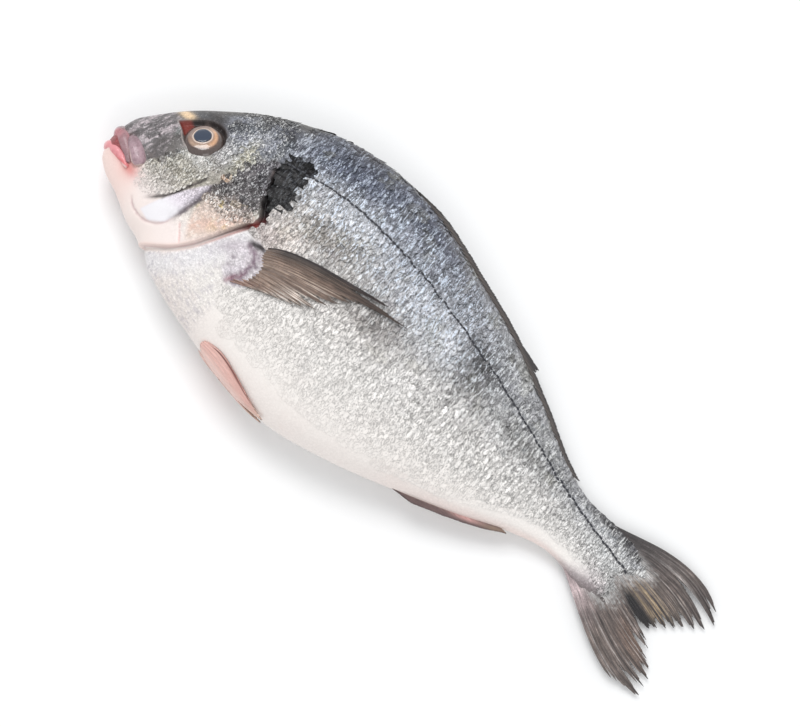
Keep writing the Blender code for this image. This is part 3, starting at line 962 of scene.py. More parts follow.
def geometry_tree(name, labels):
    """A Geometry Nodes tree with a named input for each size, and Values for all of them."""
    tree = bpy.data.node_groups.new(name, "GeometryNodeTree")
    tree.interface.new_socket("Geometry", in_out="INPUT", socket_type="NodeSocketGeometry")
    tree.interface.new_socket("Geometry", in_out="OUTPUT", socket_type="NodeSocketGeometry")
    identifiers = {}
    for label in labels:
        made = tree.interface.new_socket(label, in_out="INPUT", socket_type="NodeSocketFloat")
        identifiers[label] = made.identifier
    group_in = tree.nodes.new("NodeGroupInput")
    values = {socket.name: Value(tree, socket) for socket in group_in.outputs if socket.name}
    return tree, values, identifiers


def end_tree(tree, points, shape, material, **sizes):
    """Ends a tree with the shape on every point as real mesh, turned to lie along the body."""
    axes = {"primary_axis": "Z", "secondary_axis": "X"}
    directions = [stored_vector(tree, name) for name in ("out", "tailward")]
    turned = add_node(tree, "FunctionNodeAxesToRotation", axes, *directions)
    sizes = {"Instance": shape, "Rotation": turned, **sizes}
    placed = add_node(tree, "GeometryNodeInstanceOnPoints", None, Points=points, **sizes)
    real = add_node(tree, "GeometryNodeRealizeInstances", None, placed)
    painted = add_node(tree, "GeometryNodeSetMaterial", None, Geometry=real, Material=material)
    group_out = tree.nodes.new("NodeGroupOutput")
    tree.links.new(painted.socket, group_out.inputs[0])


def stored_vector(tree, name):
    return add_node(tree, "GeometryNodeInputNamedAttribute", {"data_type": "FLOAT_VECTOR"}, Name=name)


def with_tree(made, tree, identifiers, sizes):
    """The object made by a tree with these sizes, turned into plain mesh."""
    nodes = made.modifiers.new("Made", "NODES")
    nodes.node_group = tree
    for label, value in sizes.items():
        nodes[identifiers[label]] = value
    return plain(made)


# Finishes


def skin_finish():
    finish = Finish("wet_skin")
    grain = finish.noise((0.8, 1.0, 0.9), 4.0, 0.6, 0.4)
    patches = finish.cells(1.2, 1.0, 1.1)
    crumble = finish.noise((0.35, 0.35, 0.35), 2.0)
    crack = 1 - finish.ramp(grain.absolute(), 0.02, 0.3)
    glint = finish.ramp(grain + crumble * 0.4, 0.35, 1.1)
    pattern = grain * 0.3 + (0.45 - patches) * 0.8 + crumble * 0.3 - crack * 0.6
    contrast = finish.attribute("contrast")
    colour = finish.tinted(contrast * pattern)
    colour = finish.mixed(glint * contrast * 0.5, colour, (0.72, 0.7, 0.72, 1))
    blush = finish.noise((6, 6, 6), 2.0)
    colour = finish.mixed(finish.ramp(blush, 0.2, 1.4) * 0.12, colour, (0.8, 0.62, 0.56, 1))
    finish.relief(contrast * pattern * 0.6 + crumble * 0.12 + grain * 0.1, 0.16, 0.8)
    rough = finish.ramp(grain, -1.2, 1.2) * 0.16 + 0.3
    return finish.set(
        Base_Color=colour,
        Roughness=rough,
        Metallic=0.05,
        Specular_IOR_Level=0.22,
        Coat_Weight=0.12,
        Coat_Roughness=0.12,
    )


def scale_finish(name, streak, alike):
    """Silver scales, crumpled like foil: dark cracks, bright creases with painted glints, and painted
    shade along each scale's thin dark rim and at its base, where the scale before overlaps it.

    streak is how long the bright creases are, and alike says whether they run on from scale to
    scale."""
    finish = Finish(name)
    chance = finish.attribute("chance")
    own = finish.add("ShaderNodeCombineXYZ", None, chance * 9.0, chance * 5.0, 0.0)

    def pattern_place(x, y):
        place = finish.stretched(x, y, y)
        return finish.add("ShaderNodeVectorMath", {"operation": "ADD"}, place, own)

    creases = finish.noise(pattern_place(1.2, 2.9), 3.0, 0.6, 0.6)
    run = finish.stretched(0.9, streak, streak, 0.12) if alike else pattern_place(0.7, streak)
    streaks = finish.noise(run, 3.0, 0.55, 0.9)
    fine = finish.noise(pattern_place(0.3, 0.9), 2.0)
    crack = 1 - finish.ramp(creases.absolute(), 0.02, 0.2)
    # painted glints: the bright creases are mixed towards the gleam colour below
    glint = finish.ramp(streaks + fine * 0.35, 0.06, 0.5)
    rim = finish.attribute("rim") + fine * 0.03
    # painted shade: under darkens each scale's base, where the scale before overlaps it, and edge darkens
    # its rim
    under = 1 - finish.ramp(rim, 0.58, 0.68)
    edge = finish.ramp(rim, 0.9, 0.98) * finish.ramp(streaks + fine, -0.7, 0.6)
    contrast = finish.attribute("contrast")
    pattern = streaks * 0.6 + fine * 0.3 + chance * 0.14 - edge * 0.6 - under * 0.4
    depth = contrast * pattern - contrast ** 0.5 * crack * 1.15
    colour = finish.tinted(depth)
    shine = finish.attribute("shine")
    gleam = finish.attribute("gleam", True)
    colour = finish.mixed(glint * (1 - crack) * contrast * shine, colour, gleam)
    hues = finish.noise((5, 3, 4), 2.0)
    colour = finish.mixed(finish.ramp(hues, 0.1, 1.3) * shine * 0.1, colour, (0.34, 0.46, 0.56, 1))
    colour = finish.mixed(finish.ramp(hues, -0.1, -1.3) * shine * 0.1, colour, (0.46, 0.42, 0.58, 1))
    finish.relief(streaks * 0.5 + fine * 0.3 - crack * 0.6, 0.11, 0.9)
    rough = finish.ramp(fine + streaks, -1.5, 1.5) * 0.18 + 0.26
    return finish.set(
        Base_Color=colour,
        Roughness=rough,
        Metallic=0.12,
        Specular_IOR_Level=0.18,
        Coat_Weight=0.08,
        Coat_Roughness=0.12,
    )


def fin_finish(name):
    """Fine strands that run along the rays, over soft blotches."""
    finish = Finish(name)
    place = finish.add("ShaderNodeAttribute", {"attribute_name": "along_rays"}, out=1)
    place = finish.add("ShaderNodeMapping", {"vector_type": "POINT"}, Vector=place, Scale=(2.6, 0.25, 1))
    strand = finish.noise(place, 3.0, 0.6)
    grain = finish.noise((0.5, 0.5, 0.5), 3.0)
    blotch = finish.noise((4, 4, 4), 2.0)
    pattern = strand * 0.9 + grain * 0.3 + blotch * 0.3
    colour = finish.tinted(finish.attribute("contrast") * pattern)
    finish.relief(strand * 0.6 + grain * 0.4, 0.07, 0.7)
    return finish.set(
        Base_Color=colour,
        Roughness=finish.ramp(grain, -1, 1) * 0.15 + 0.34,
        Specular_IOR_Level=0.45,
        Coat_Weight=0.2,
        Coat_Roughness=0.15,
    )


def eye_finish():
    finish = Finish("eye")
    marble = finish.noise((0.9, 0.9, 0.9), 4.0, 0.6, 0.6)
    colour = finish.tinted(finish.attribute("contrast") * marble)
    finish.relief(marble * finish.attribute("contrast"), 0.05, 0.5)
    rough = finish.ramp(marble, -1, 1) * 0.08 + 0.14
    return finish.set(Base_Color=colour, Roughness=rough, Coat_Weight=0.8, Coat_Roughness=0.03)


def lip_finish():
    finish = Finish("lips")
    wrinkles = finish.noise((0.5, 1.6, 0.9), 3.0, 0.6, 0.5)
    flush = finish.noise((1.8, 1.8, 1.8), 2.0)
    colour = finish.tinted(finish.attribute("contrast") * (wrinkles * 0.5 + flush * 0.6))
    finish.relief(wrinkles, 0.12, 0.7)
    rough = finish.ramp(flush, -1, 1) * 0.14 + 0.26
    return finish.set(Base_Color=colour, Roughness=rough, Coat_Weight=0.35, Coat_Roughness=0.1)


# The body


def body_skin():
    """The head and trunk: a fine globe whose parallels become the fish's sections."""
    shape = bmesh.new()
    bmesh.ops.create_uvsphere(shape, u_segments=SKIN_SIDES, v_segments=SKIN_ROWS[-1][0], radius=1)
    globe = np.array([v.co for v in shape.verts])
    mesh = bpy.data.meshes.new("skin")
    shape.to_mesh(mesh)
    shape.free()
    row = np.arccos(np.clip(globe[:, 2], -1, 1)) / np.pi * SKIN_ROWS[-1][0]
    share = (1 + np.cos(np.arctan2(globe[:, 1], globe[:, 0]))) / 2
    x = bent_to_gill(np.interp(row, *np.transpose(SKIN_ROWS)), share)
    points = smooth_skin(x, share)
    rise = head_relief(points) * ramp(NOSE, NOSE + 8, x)
    raised = points + skin_normal(x, share) * rise[:, None]
    side = np.where(globe[:, 1] < 0, -1, 1)
    mesh.vertices.foreach_set("co", laid(raised, side).ravel())
    paint, contrast = fish_paint(points[:, 0], points[:, 1])
    store(mesh, tint=paint, contrast=contrast)
    finished(new_object("skin", mended(mesh, 0.0005)), skin_finish())


SCALE_STEP = (2.4, 2.8)  # exposed length along the body, and width
COVER_STEP = (1.8, 2.1)
CHEEK_STEP = (1.2, 1.5)
SCALE_OVERLAP = (2.3, 1.26)  # a whole scale's length and width, in steps
SCALE_DOME = 0.1
SCALE_LIFT = 0.36
GLEAM = (0.82, 0.82, 0.81)  # colour of the glints
GLEAM_BLUE = (-0.09, -0.01, 0.12)  # what the upper flank adds to it


def section_line(x):
    """Shares and arc lengths round the left flank's section at a distance from the snout."""
    share = (1 - np.cos(np.linspace(0, np.pi, 240))) / 2
    points = smooth_skin(np.full(240, x), share)
    arc = np.concatenate(([0], np.cumsum(np.linalg.norm(np.diff(points, axis=0), axis=1))))
    return share, arc


def crowding(x):
    """How much smaller the scales are towards the tail."""
    return 1 - 0.58 * ramp(190, 250, x)


def scale_places(step, first, last, astray, seed):
    """Where scales grow: rows along the lateral line, each second column half a step higher.

    astray is how far, in steps, they stray from that."""
    draw = np.random.default_rng(seed)
    places = []
    x, half = first, 0.0
    while x < last:
        length, width = step[0] * crowding(x), step[1] * crowding(x)
        share, arc = section_line(x)
        line = np.interp(share_at(x, float(lateral(np.clip(x, 54, 258)))), share, arc)
        lowest = -math.floor(line / width)
        highest = math.floor((arc[-1] - line) / width)
        at = line + (np.arange(lowest, highest + 1) + half) * width
        at = at[(at > 0.6) & (at < arc[-1] - 0.6)]
        at = at + draw.normal(0, astray * width, len(at))
        grown = np.interp(at, arc, share)
        places.append(np.column_stack((x + draw.normal(0, astray * length, len(at)), grown)))
        x, half = x + length, 0.5 - half
    return np.concatenate(places)


def surface_frame(x, share, lift, side):
    """Place, outward normal and tailward direction on the lying fish's own surface."""
    at = skin(x, share, lift)
    along = laid(skin(x + 0.6, share, lift), side) - laid(skin(x - 0.6, share, lift), side)
    slip = 0.008
    high = skin(x, np.clip(share + slip, 0, 1), lift)
    low = skin(x, np.clip(share - slip, 0, 1), lift)
    across = laid(high, side) - laid(low, side)
    normal = unit(np.cross(along, across)) * side
    return laid(at, side), normal, unit(along)


def trunk_places(x, y):
    """Where the trunk's scales grow."""
    ahead, along = gill_distance(x, y)
    on_trunk = (ahead < np.where(y < 24, -3.4, -2.6)) | ((along < 0.04) & (x > 54))
    throat = (x < 78) & (y < -11 - 0.3 * (x - 50))
    past = x - tail_reach(share_at(x, y))
    thinned = mottle(x * 9.1, y * 8.3, 1.0, 51) > 1.6 * ramp(-6, 5, past) - 1
    smooth = (shoulder_place(x, y) < 1.05) | (bare_shoulder(x, y) > 0.5) | throat
    return on_trunk & ~smooth & thinned & (past < 4)


def cover_places(x, y):
    """Where the middling scales of the gill cover and the nape grow."""
    ahead, _ = gill_distance(x, y)
    flange, _ = beside_line(x, y, FLANGE_LINE)
    radius, _ = socket_place(x, y)
    on_cover = (flange < -1.2) & (y > 8.5 + 1.6 * mottle(x, y, 3, 52))
    on_nape = (y > 24) & (x > 36)
    return (on_cover | on_nape) & (radius > 1.3) & (ahead > 0.9)


def cheek_places(x, y):
    """Where the smallest scales grow: the cheek and behind the eye."""
    ahead, _ = gill_distance(x, y)
    cheek, _ = beside_line(x, y, CHEEK_LINE)
    radius, _ = socket_place(x, y)
    in_reach = (x > 17.5) & (x < 40) & (y > -3.5) & (y < 26)
    on_cheek = (cheek > 0.9) & in_reach & (x - 0.5 * y > 14.5)
    behind_eye = (y > 22) & (x > 31) & (x < 37)
    return (on_cheek | behind_eye) & (radius > 1.2) & (ahead > 0.9)


def scale_tree(material):
    """Instances of one domed scale, turned to lie along the body, on every point."""
    tree, value, identifiers = geometry_tree("scales", ("Length", "Width", "Dome", "Lift"))
    plate = add_node(tree, "GeometryNodeMeshGrid", None, 1.0, 1.0, 5, 5)
    place = add_node(tree, "GeometryNodeInputPosition")
    split = add_node(tree, "ShaderNodeSeparateXYZ", None, place)
    a = split + 0.5
    b = Value(tree, split.socket.node.outputs[1]) * 2.0
    curved = 1 - b * b * 0.2
    x = (a * curved - 0.62) * value["Length"]
    narrow = 1 - (1 - a) * (1 - a) * 0.3
    y = b * narrow * 0.5 * value["Width"]
    z = (a - 0.45) * value["Lift"] + (1 - b * b) * value["Dome"]
    moved = add_node(tree, "ShaderNodeCombineXYZ", None, x, y, z)
    rim = {"Name": "rim", "Value": a * (1 - b.absolute() ** 3 * 0.12)}
    marked = add_node(tree, "GeometryNodeStoreNamedAttribute", {"data_type": "FLOAT"}, plate, **rim)
    shaped = add_node(tree, "GeometryNodeSetPosition", None, Geometry=marked, Position=moved)
    end_tree(tree, value["Geometry"], shaped, material, Scale=stored_vector(tree, "size"))
    return tree, identifiers


def scales(name, places, grows, step, proud, made_tree, seed):
    """The scales of one kind, one piece for each side, flatter where they hardly show."""
    tree, identifiers = made_tree
    draw = np.random.default_rng(seed)
    sizes = {
        "Length": step[0] * SCALE_OVERLAP[0] * MM,
        "Width": step[1] * SCALE_OVERLAP[1] * MM,
        "Dome": step[1] * SCALE_DOME * proud * MM,
        "Lift": SCALE_LIFT * proud * MM,
    }
    for word, side in (("left", 1), ("right", -1)):
        x, share = places.T
        y = smooth_skin(x, share)[:, 1]
        shows = ramp(-0.035, 0.04, share - belly_border(x))
        keep = grows(x, y) & (shows > 0)
        x, y, share, shows = x[keep], y[keep], share[keep], shows[keep]
        relief = head_relief(smooth_skin(x, share)) + 0.3 * ramp(244, 254, x)
        place, out, tailward = surface_frame(x, share, relief + 0.05, side)
        paint, contrast = fish_paint(x, y)
        size = 0.72 + 0.28 * ramp(0, 0.06, np.minimum(share, 1 - share))
        size = size * crowding(x) * draw.uniform(0.88, 1.12, len(x))
        flat = (0.3 + 0.7 * ramp(0.1, 0.6, contrast)) * shows.clip(0.15, 1)
        tilt = draw.normal(0, 0.08, (len(x), 3)) * flat[:, None]
        turn = draw.normal(0, 0.14, (len(x), 1))
        thick = size * flat * draw.uniform(0.6, 1.35, len(x))
        bluish = ramp(185, 140, x) * ramp(0.5, 0.7, share) * ramp(50, 62, x)
        mesh = points_mesh(
            name,
            place,
            out=unit(out + tilt),
            tailward=tailward * np.cos(turn) + np.cross(out, tailward) * np.sin(turn),
            size=np.column_stack((size, size, thick)),
            tint=paint,
            contrast=contrast * shows.clip(0.12, 1),
            chance=draw.normal(0, 0.8, len(x)).clip(-1.6, 1.6),
            shine=shine_at(x, y),
            gleam=np.array(GLEAM) + bluish[:, None] * np.array(GLEAM_BLUE),
        )
        finished(with_tree(new_object(name + "_" + word, mesh), tree, identifiers, sizes))


def shine_at(x, y):
    """How bright the glints of the scales are: dull on the blotch and the gill cover."""
    share = share_at(x, y)
    shine = np.interp(share, (0.4, 0.62, 0.88, 0.96), (0.35, 0.95, 0.95, 0.7))
    shine = shine * (1 - 0.45 * ramp(115, 85, x) * ramp(0.8, 0.88, share))
    shine = np.where(x < 56, 0.75, shine)
    cover = within(x, y, DULL_COVER, 2.0)
    return shine * (1 - 0.93 * dark_blotch(x, y)) * (1 - 0.5 * cover)


def belly_border(x):
    """Share of the height below which the belly is smooth."""
    return np.interp(x, *np.transpose(BELLY_EDGE))


def pore_tree(material):
    """Instances of one small smooth bead, drawn out along the body, on every point."""
    tree, value, identifiers = geometry_tree("pores", ("Length", "Width"))
    bead = add_node(tree, "GeometryNodeMeshUVSphere", None, 8, 6, 0.5)
    sizes = (value["Length"], value["Width"], value["Width"] * 0.6)
    scale = add_node(tree, "ShaderNodeCombineXYZ", None, *sizes)
    drawn_out = add_node(tree, "GeometryNodeTransform", None, Geometry=bead, Scale=scale)
    end_tree(tree, value["Geometry"], drawn_out, material)
    return tree, identifiers


PORE_STEP = 2.0
PORE_WIDTH = 0.96
PORE_LIFT = 0.56


def lateral_line():
    """The row of dark pored scales along each flank."""
    draw = np.random.default_rng(8)
    x = np.arange(LATERAL_LINE[0][0] + 3, LATERAL_LINE[-1][0], PORE_STEP * 0.98)
    y = lateral(x) + draw.normal(0, 0.2, len(x))
    share = share_at(x, y)
    lift = PORE_LIFT + 0.3 * ramp(244, 254, x)
    rows = []
    for side in (1, -1):
        place, out, _ = surface_frame(x, share, lift, side)
        rows.append(np.hstack((place, out, unit(np.gradient(place, axis=0)))))
    place, out, ahead = np.hsplit(np.concatenate(rows), 3)
    paint = coat(place[:, 0], (46, 47, 54))
    contrast = np.full(len(place), 0.5)
    mesh = points_mesh("lateral_line", place, out=out, tailward=ahead, tint=paint, contrast=contrast)
    tree, identifiers = pore_tree(fin_finish("line_of_pores"))
    sizes = {"Length": PORE_STEP * MM, "Width": PORE_WIDTH * MM}
    finished(with_tree(new_object("lateral_line", mesh), tree, identifiers, sizes))


# The eyes and mouth


def eye_paint(r, t):
    """Blue pupil, bright ring, marbled iris and dark rim, by the radius and the angle."""
    paint = coat(r, (138, 112, 98))
    rear = facing(t, 35)
    lay(paint, (214, 166, 128), 0.9 * ramp(0.2, 0.9, rear) * bump(r - 5.0, 0.8))
    lay(paint, (180, 152, 130), 0.6 * ramp(0.3, 0.9, np.cos(t + 1.2)) * bump(r - 4.8, 0.8))
    lay(paint, (108, 84, 76), 0.8 * ramp(0.3, 0.9, np.cos(t - 2.9)) * ramp(4.2, 5.4, r))
    lay(paint, (66, 54, 50), 0.8 * ramp(0.2, 0.8, np.cos(t + 1.6)) * ramp(5.4, 6.0, r))
    lay(paint, (78, 62, 57), 0.85 * bump(r - 6.2, 0.4))
    lay(paint, (226, 206, 192), 0.95 * bump(r - 3.7, 0.24))
    lay(paint, (42, 54, 74), ramp(3.42, 3.3, r))
    lay(paint, (38, 36, 40), 0.9 * bump(r - 3.38, 0.1))
    lay(paint, (84, 72, 68), ramp(6.2, 6.6, r))
    return paint, 0.22 * ramp(3.9, 4.4, r) + 0.03


def eye(name, side):
    """The eyeball: a dome turned about the eye's axis, whose pupil and ring stand a little proud."""
    pupil, ring = np.linspace(0, 3.2, 12), np.linspace(3.5, 4.0, 5)
    iris, rim = np.linspace(4.2, 6.0, 12), np.linspace(6.2, 7.9, 9)
    radii = np.concatenate((pupil, (3.3, 3.38), ring, iris, rim))
    turn = np.linspace(0, 2 * np.pi, 96, endpoint=False)
    r, t = np.meshgrid(radii, turn, indexing="ij")
    wobble = 1 + 0.015 * np.sin(3 * t + 1) + 0.01 * np.sin(7 * t)
    height = EYE_DEPTH * np.sqrt(np.clip(1 - (r / EYE_RADIUS) ** 2, 0, 1))
    height = height + 0.3 * ramp(3.45, 3.2, r)
    height = height + 0.16 * bump(r - 3.75, 0.3) - 0.15 * bump(r - 4.9, 0.8)
    axis = unit(np.array(EYE_AXIS))
    first = unit(np.cross((0, 1, 0), axis))
    second = np.cross(axis, first)
    centre = smooth_skin(EYE[0], share_at(*EYE)) - axis * EYE_SUNK
    away = r * wobble
    points = centre + first * (away * np.cos(t))[..., None] + second * (away * np.sin(t))[..., None]
    points = points + axis * height[..., None]
    mesh = grid_mesh(name, laid(points, side), closed=True)
    paint, contrast = eye_paint(r, t)
    store(mesh, tint=paint, contrast=contrast)
    return new_object(name, mended(mesh))


def club(stations, flat, centre, size, across=False, ridge=None):
    """A rounded fleshy strip along a path of x, y, z and radius, flattened towards the head.

    Its outward direction is the one away from centre, and size is its number of rings and of
    points round each. across says that the strip crosses the middle plane, so that its right half
    mirrors the stations, which are its left one."""
    rings, sides = size
    t = np.linspace(0, 1, rings)
    at = path_through(stations)(np.abs(2 * t - 1) if across else t)
    if across:
        at[:, 2] = at[:, 2] * np.where(t < 0.5, -1.0, 1.0)
    spine, radius = at[:, :3], at[:, 3]
    ends = np.minimum(t, 1 - t) * length_of(spine)
    radius = radius * np.sqrt(np.clip(1 - (1 - np.clip(ends / radius, 0, 1)) ** 2, 0, 1))
    tangent = unit(np.gradient(spine, axis=0))
    outward = unit(spine - np.array(centre))
    outward = unit(outward - tangent * (outward * tangent).sum(-1, keepdims=True))
    beside = np.cross(tangent, outward)
    t, turn = np.meshgrid(t, np.linspace(0, 2 * np.pi, sides, endpoint=False), indexing="ij")
    ring = radius[:, None] * (ridge(t, turn) if ridge else 1)
    points = spine[:, None] + beside[:, None] * (ring * np.cos(turn))[..., None]
    points = points + outward[:, None] * (ring * np.sin(turn) * flat)[..., None]
    return points, t, turn


def fleshy(name, points, side, paint, contrast):
    mesh = grid_mesh(name, laid(points, side), closed=True)
    store(mesh, tint=paint, contrast=contrast)
    return new_object(name, mended(mesh, 0.01))


UPPER_LIP = (
    (0.7, 9.3, 0, 3.1),
    (1.6, 8.8, 3.4, 3.1),
    (3.8, 7.4, 6.2, 2.8),
    (6.8, 5.0, 8.2, 2.1),
    (9.6, 2.6, 9.2, 1.3),
    (11.2, 0.9, 9.5, 0.9),
)
LOWER_LIP = (
    (1.0, 2.6, 0, 2.7),
    (1.8, 2.6, 2.9, 2.7),
    (4.2, 2.3, 5.4, 2.3),
    (7.2, 1.4, 7.3, 1.7),
    (10.2, 0.0, 8.6, 1.1),
    (12, -0.6, 9.1, 0.7),
)
JAW_LOBE = (
    (4.8, 9.8, 7.4, 1.5),
    (7.2, 8.5, 9.0, 2.4),
    (10.0, 6.7, 10.2, 2.8),
    (12.8, 4.6, 10.7, 3.0),
    (15.2, 2.6, 10.6, 2.9),
)
UPPER_CENTRE = (9.0, 5.0, 0.0)
LOWER_CENTRE = (9.0, 3.0, 0.0)
LOBE_CENTRE = (10.0, 5.0, -4.0)


def mouth(material):
    """Both lips and, on each side, the broad end of the upper jaw that slides under the cheek."""

    def wrinkled(t, turn):
        return 1 + 0.025 * np.sin(34 * t + 2 * turn) + 0.02 * np.sin(57 * t - turn)

    points, t, turn = club(UPPER_LIP, 0.9, UPPER_CENTRE, (96, 32), True, wrinkled)
    y = points[..., 1]
    paint = coat(t, (150, 116, 121))
    lay(paint, (184, 104, 112), 0.7 * ramp(3.5, 0, points[..., 0]))
    lay(paint, (112, 100, 102), 0.85 * ramp(8.6, 10.8, y))
    lay(paint, (198, 130, 132), 0.6 * ramp(0.2, 0.9, -np.cos(turn) * np.sign(t - 0.5)))
    lay(paint, (138, 110, 114), 0.6 * ramp(4.5, 1.5, y))
    upper = fleshy("upper_lip", points, 1, paint, np.full(t.shape, 0.22))
    finished(upper, material)

    points, t, turn = club(LOWER_LIP, 0.95, LOWER_CENTRE, (96, 28), True, wrinkled)
    y = points[..., 1]
    paint = coat(t, (220, 142, 147))
    lay(paint, (216, 104, 102), 0.7 * bump(y + 0.1, 0.5))
    lay(paint, (240, 214, 206), 0.85 * ramp(-0.4, -1.2, y))
    lower = fleshy("lower_lip", points, 1, paint, np.full(t.shape, 0.14))
    finished(lower, material)

    for word, side in (("left", 1), ("right", -1)):
        points, t, turn = club(JAW_LOBE, 0.55, LOBE_CENTRE, (64, 32))
        edge = np.abs(np.cos(turn))
        paint = coat(t, (166, 138, 146))
        lay(paint, (132, 108, 115), 0.8 * ramp(0.5, 0.1, t))
        lay(paint, (120, 92, 100), 0.5 * ramp(0.2, 0.7, mottle(t * 17, turn * 3.2, 1.0, 71)))
        lay(paint, (214, 194, 184), 0.8 * ramp(0.88, 0.98, edge) * ramp(0.3, 0.7, t))
        lay(paint, (214, 194, 184), 0.8 * ramp(0.94, 0.98, t))
        lobe = fleshy("jaw_lobe_" + word, points, side, paint, np.full(t.shape, 0.2))
        finished(lobe, material)


# The fins

TAIL_ROOT = ((234, 20.8), (234, -2.2))
TAIL_ROOT_BOW = 10.0
TAIL_TIPS = (
    (300.6, 21.2),
    (292.0, 12.5),
    (284.0, 6.0),
    (277.5, -0.3),
    (283.4, -6.0),
    (290.0, -14.5),
    (292.6, -25.2),
)
TAIL_BULGE = (7.6, 5.2)
TAIL_SKEW = 1.3
TAIL_FALL = 3.4
TAIL_LEVEL = 0.35
PECTORAL_ROOT = ((71.9, 7.5), (70.0, -9.2))
PECTORAL_TIPS = (
    (120.2, 22.4),
    (132.6, 21.5),
    (118.0, 17.6),
    (110.5, 14.0),
    (106.1, 8.8),
    (101.3, 3.0),
    (95.2, -0.3),
    (88.7, -2.5),
    (81.0, -4.8),
)
PECTORAL_BULGE = 3.7
PECTORAL_OFF = 0.58
PECTORAL_LIFT = 1.2
PELVIC = (76.6, 113.5)
PELVIC_TOP = curve_through([(0, 0.037), (0.12, 0.048), (0.55, 0.041), (0.8, 0.026), (1, 0.009)])
PELVIC_LOW = curve_through([(0, 0.004), (0.25, 0.0), (0.7, 0.0), (1, 0.005)])
PELVIC_BOW = 2.2
DORSAL = (76.0, 209.0)
DORSAL_HEIGHT = 2.2
ANAL = (156.0, 203.0)
ANAL_HEIGHT = 2.4
FOLDED_ROOT = 2.5
FIN_THINNING = 0.75
THINNEST = 0.2


def tail_place(u, v):
    """The tail fin: rays fan out from the root, bow outwards and end along the fork."""
    root = path_through(TAIL_ROOT)(v)
    tip = path_through(TAIL_TIPS)(v)
    outward = 1 - 2 * v
    x = root[..., 0] + TAIL_ROOT_BOW * (1 - outward**2)
    y = root[..., 1]
    x, y = x + (tip[..., 0] - x) * u, y + (tip[..., 1] - y) * u
    bulge = np.where(outward > 0, *TAIL_BULGE)
    y = y + bulge * outward * np.abs(outward) * np.sin(np.pi * u**TAIL_SKEW)
    fallen = (np.clip(u - TAIL_LEVEL, 0, None) / (1 - TAIL_LEVEL)) ** 2
    return np.stack((x, y, -TAIL_FALL * fallen), -1)


def pectoral_place(u, v):
    """The pectoral fin lies back along the flank, and its tip stands a little off."""
    start = path_through(PECTORAL_ROOT)(v)
    x, y = np.moveaxis(start + (path_through(PECTORAL_TIPS)(v) - start) * u[..., None], -1, 0)
    y = y + PECTORAL_BULGE * (1 - v) * np.sin(np.pi * u**0.5)
    return skin(x, share_at(x, y), PECTORAL_OFF + PECTORAL_LIFT * u * u)


def pelvic_place(u, v):
    """The pelvic fin is a leaf that lies back along the belly's edge."""
    x = PELVIC[0] + (PELVIC[1] - PELVIC[0]) * u + PELVIC_BOW * (2 * v - 1) ** 2 * (1 - 3 * u)
    share = PELVIC_TOP(u) + (PELVIC_LOW(u) - PELVIC_TOP(u)) * v
    return skin(x, share, 0.5 + 0.5 * u)


def folded_place(edge, span, height, away, lean):
    """A fin folded down on the back's or the belly's edge: its rays lie back nearly along it."""

    def place(u, v):
        root = span[0] + (span[1] - span[0]) * v
        x = root + lean * np.clip(u, 0, None) * (1 - 0.3 * v)
        slope = (edge(x + 1) - edge(x - 1)) / 2
        out = np.stack((-slope, np.ones_like(slope)), -1) * away / np.hypot(slope, 1)[..., None]
        swell = ramp(0, 0.2, v) * (0.6 + 0.4 * ramp(1.0, 0.8, v))
        reach = -FOLDED_ROOT + (FOLDED_ROOT + height * swell) * u
        return np.stack((x + out[..., 0] * reach, edge(x) + out[..., 1] * reach, 0.9 * u), -1)

    return place


def branching(rays, u, v):
    """1 on a ray and 0 in the web between, where each ray splits in two and then in four."""
    across = v * (rays - 1)
    level = ramp(0.3, 0.5, u), ramp(0.62, 0.8, u)
    nearest = np.round(across)
    off = across - nearest
    first = np.abs(off)
    second = np.abs(np.abs(off) - 0.25 * level[0])
    third = np.abs(second - 0.125 * level[1])
    gap = np.where(level[1] > 0, third, np.where(level[0] > 0, second, first))
    width = 0.24 - 0.1 * level[0] - 0.05 * level[1]
    return bump(gap, width)


def far_edge(v, rays, seed, fray, torn=0.0, long_ray=None, groups=0, gap_depth=(0, 0, 0), splits=()):
    """How far out a fin's far edge comes at each place across it, 1 for a whole ray.

    fray is how far most of the gaps between the rays' ends reach in, at the first, middle and
    last ray, torn the share of them that reach in twice as far and long_ray a ray that sticks
    out, with its length. The rays part into groups with a pointed end each. gap_depth says how
    far the gaps between them reach in, and splits give the place, depth and width of others."""
    draw = np.random.default_rng(seed)
    across = v * (rays - 1)
    lengths = draw.uniform(0.97, 1.0, rays)
    if long_ray:
        lengths[long_ray[0]] = long_ray[1]
    gaps = draw.uniform(0.2, 1.0, 4 * rays + 1)
    gaps = np.where(draw.uniform(size=4 * rays + 1) < torn, 2.2 * gaps, gaps)
    depth = gaps[np.round(across * 4).astype(int)]
    between = 1 - branching(rays, np.ones(len(v)), v)
    edge = np.interp(across, np.arange(rays), lengths) - np.interp(v, (0, 0.5, 1), fray) * depth * between
    if groups:
        place = v * groups + 0.5
        near_gap = np.clip(1 - np.abs(place - np.round(place)) / 0.5, 0, 1) ** 1.6
        own = draw.uniform(0.35, 1.5, groups + 2)[np.round(place).astype(int)]
        edge = edge - np.interp(v, (0, 0.5, 1), gap_depth) * own * near_gap
    for where, deep, wide in splits:
        edge = edge - deep * np.clip(1 - np.abs(v - where) / wide, 0, 1)
    return edge


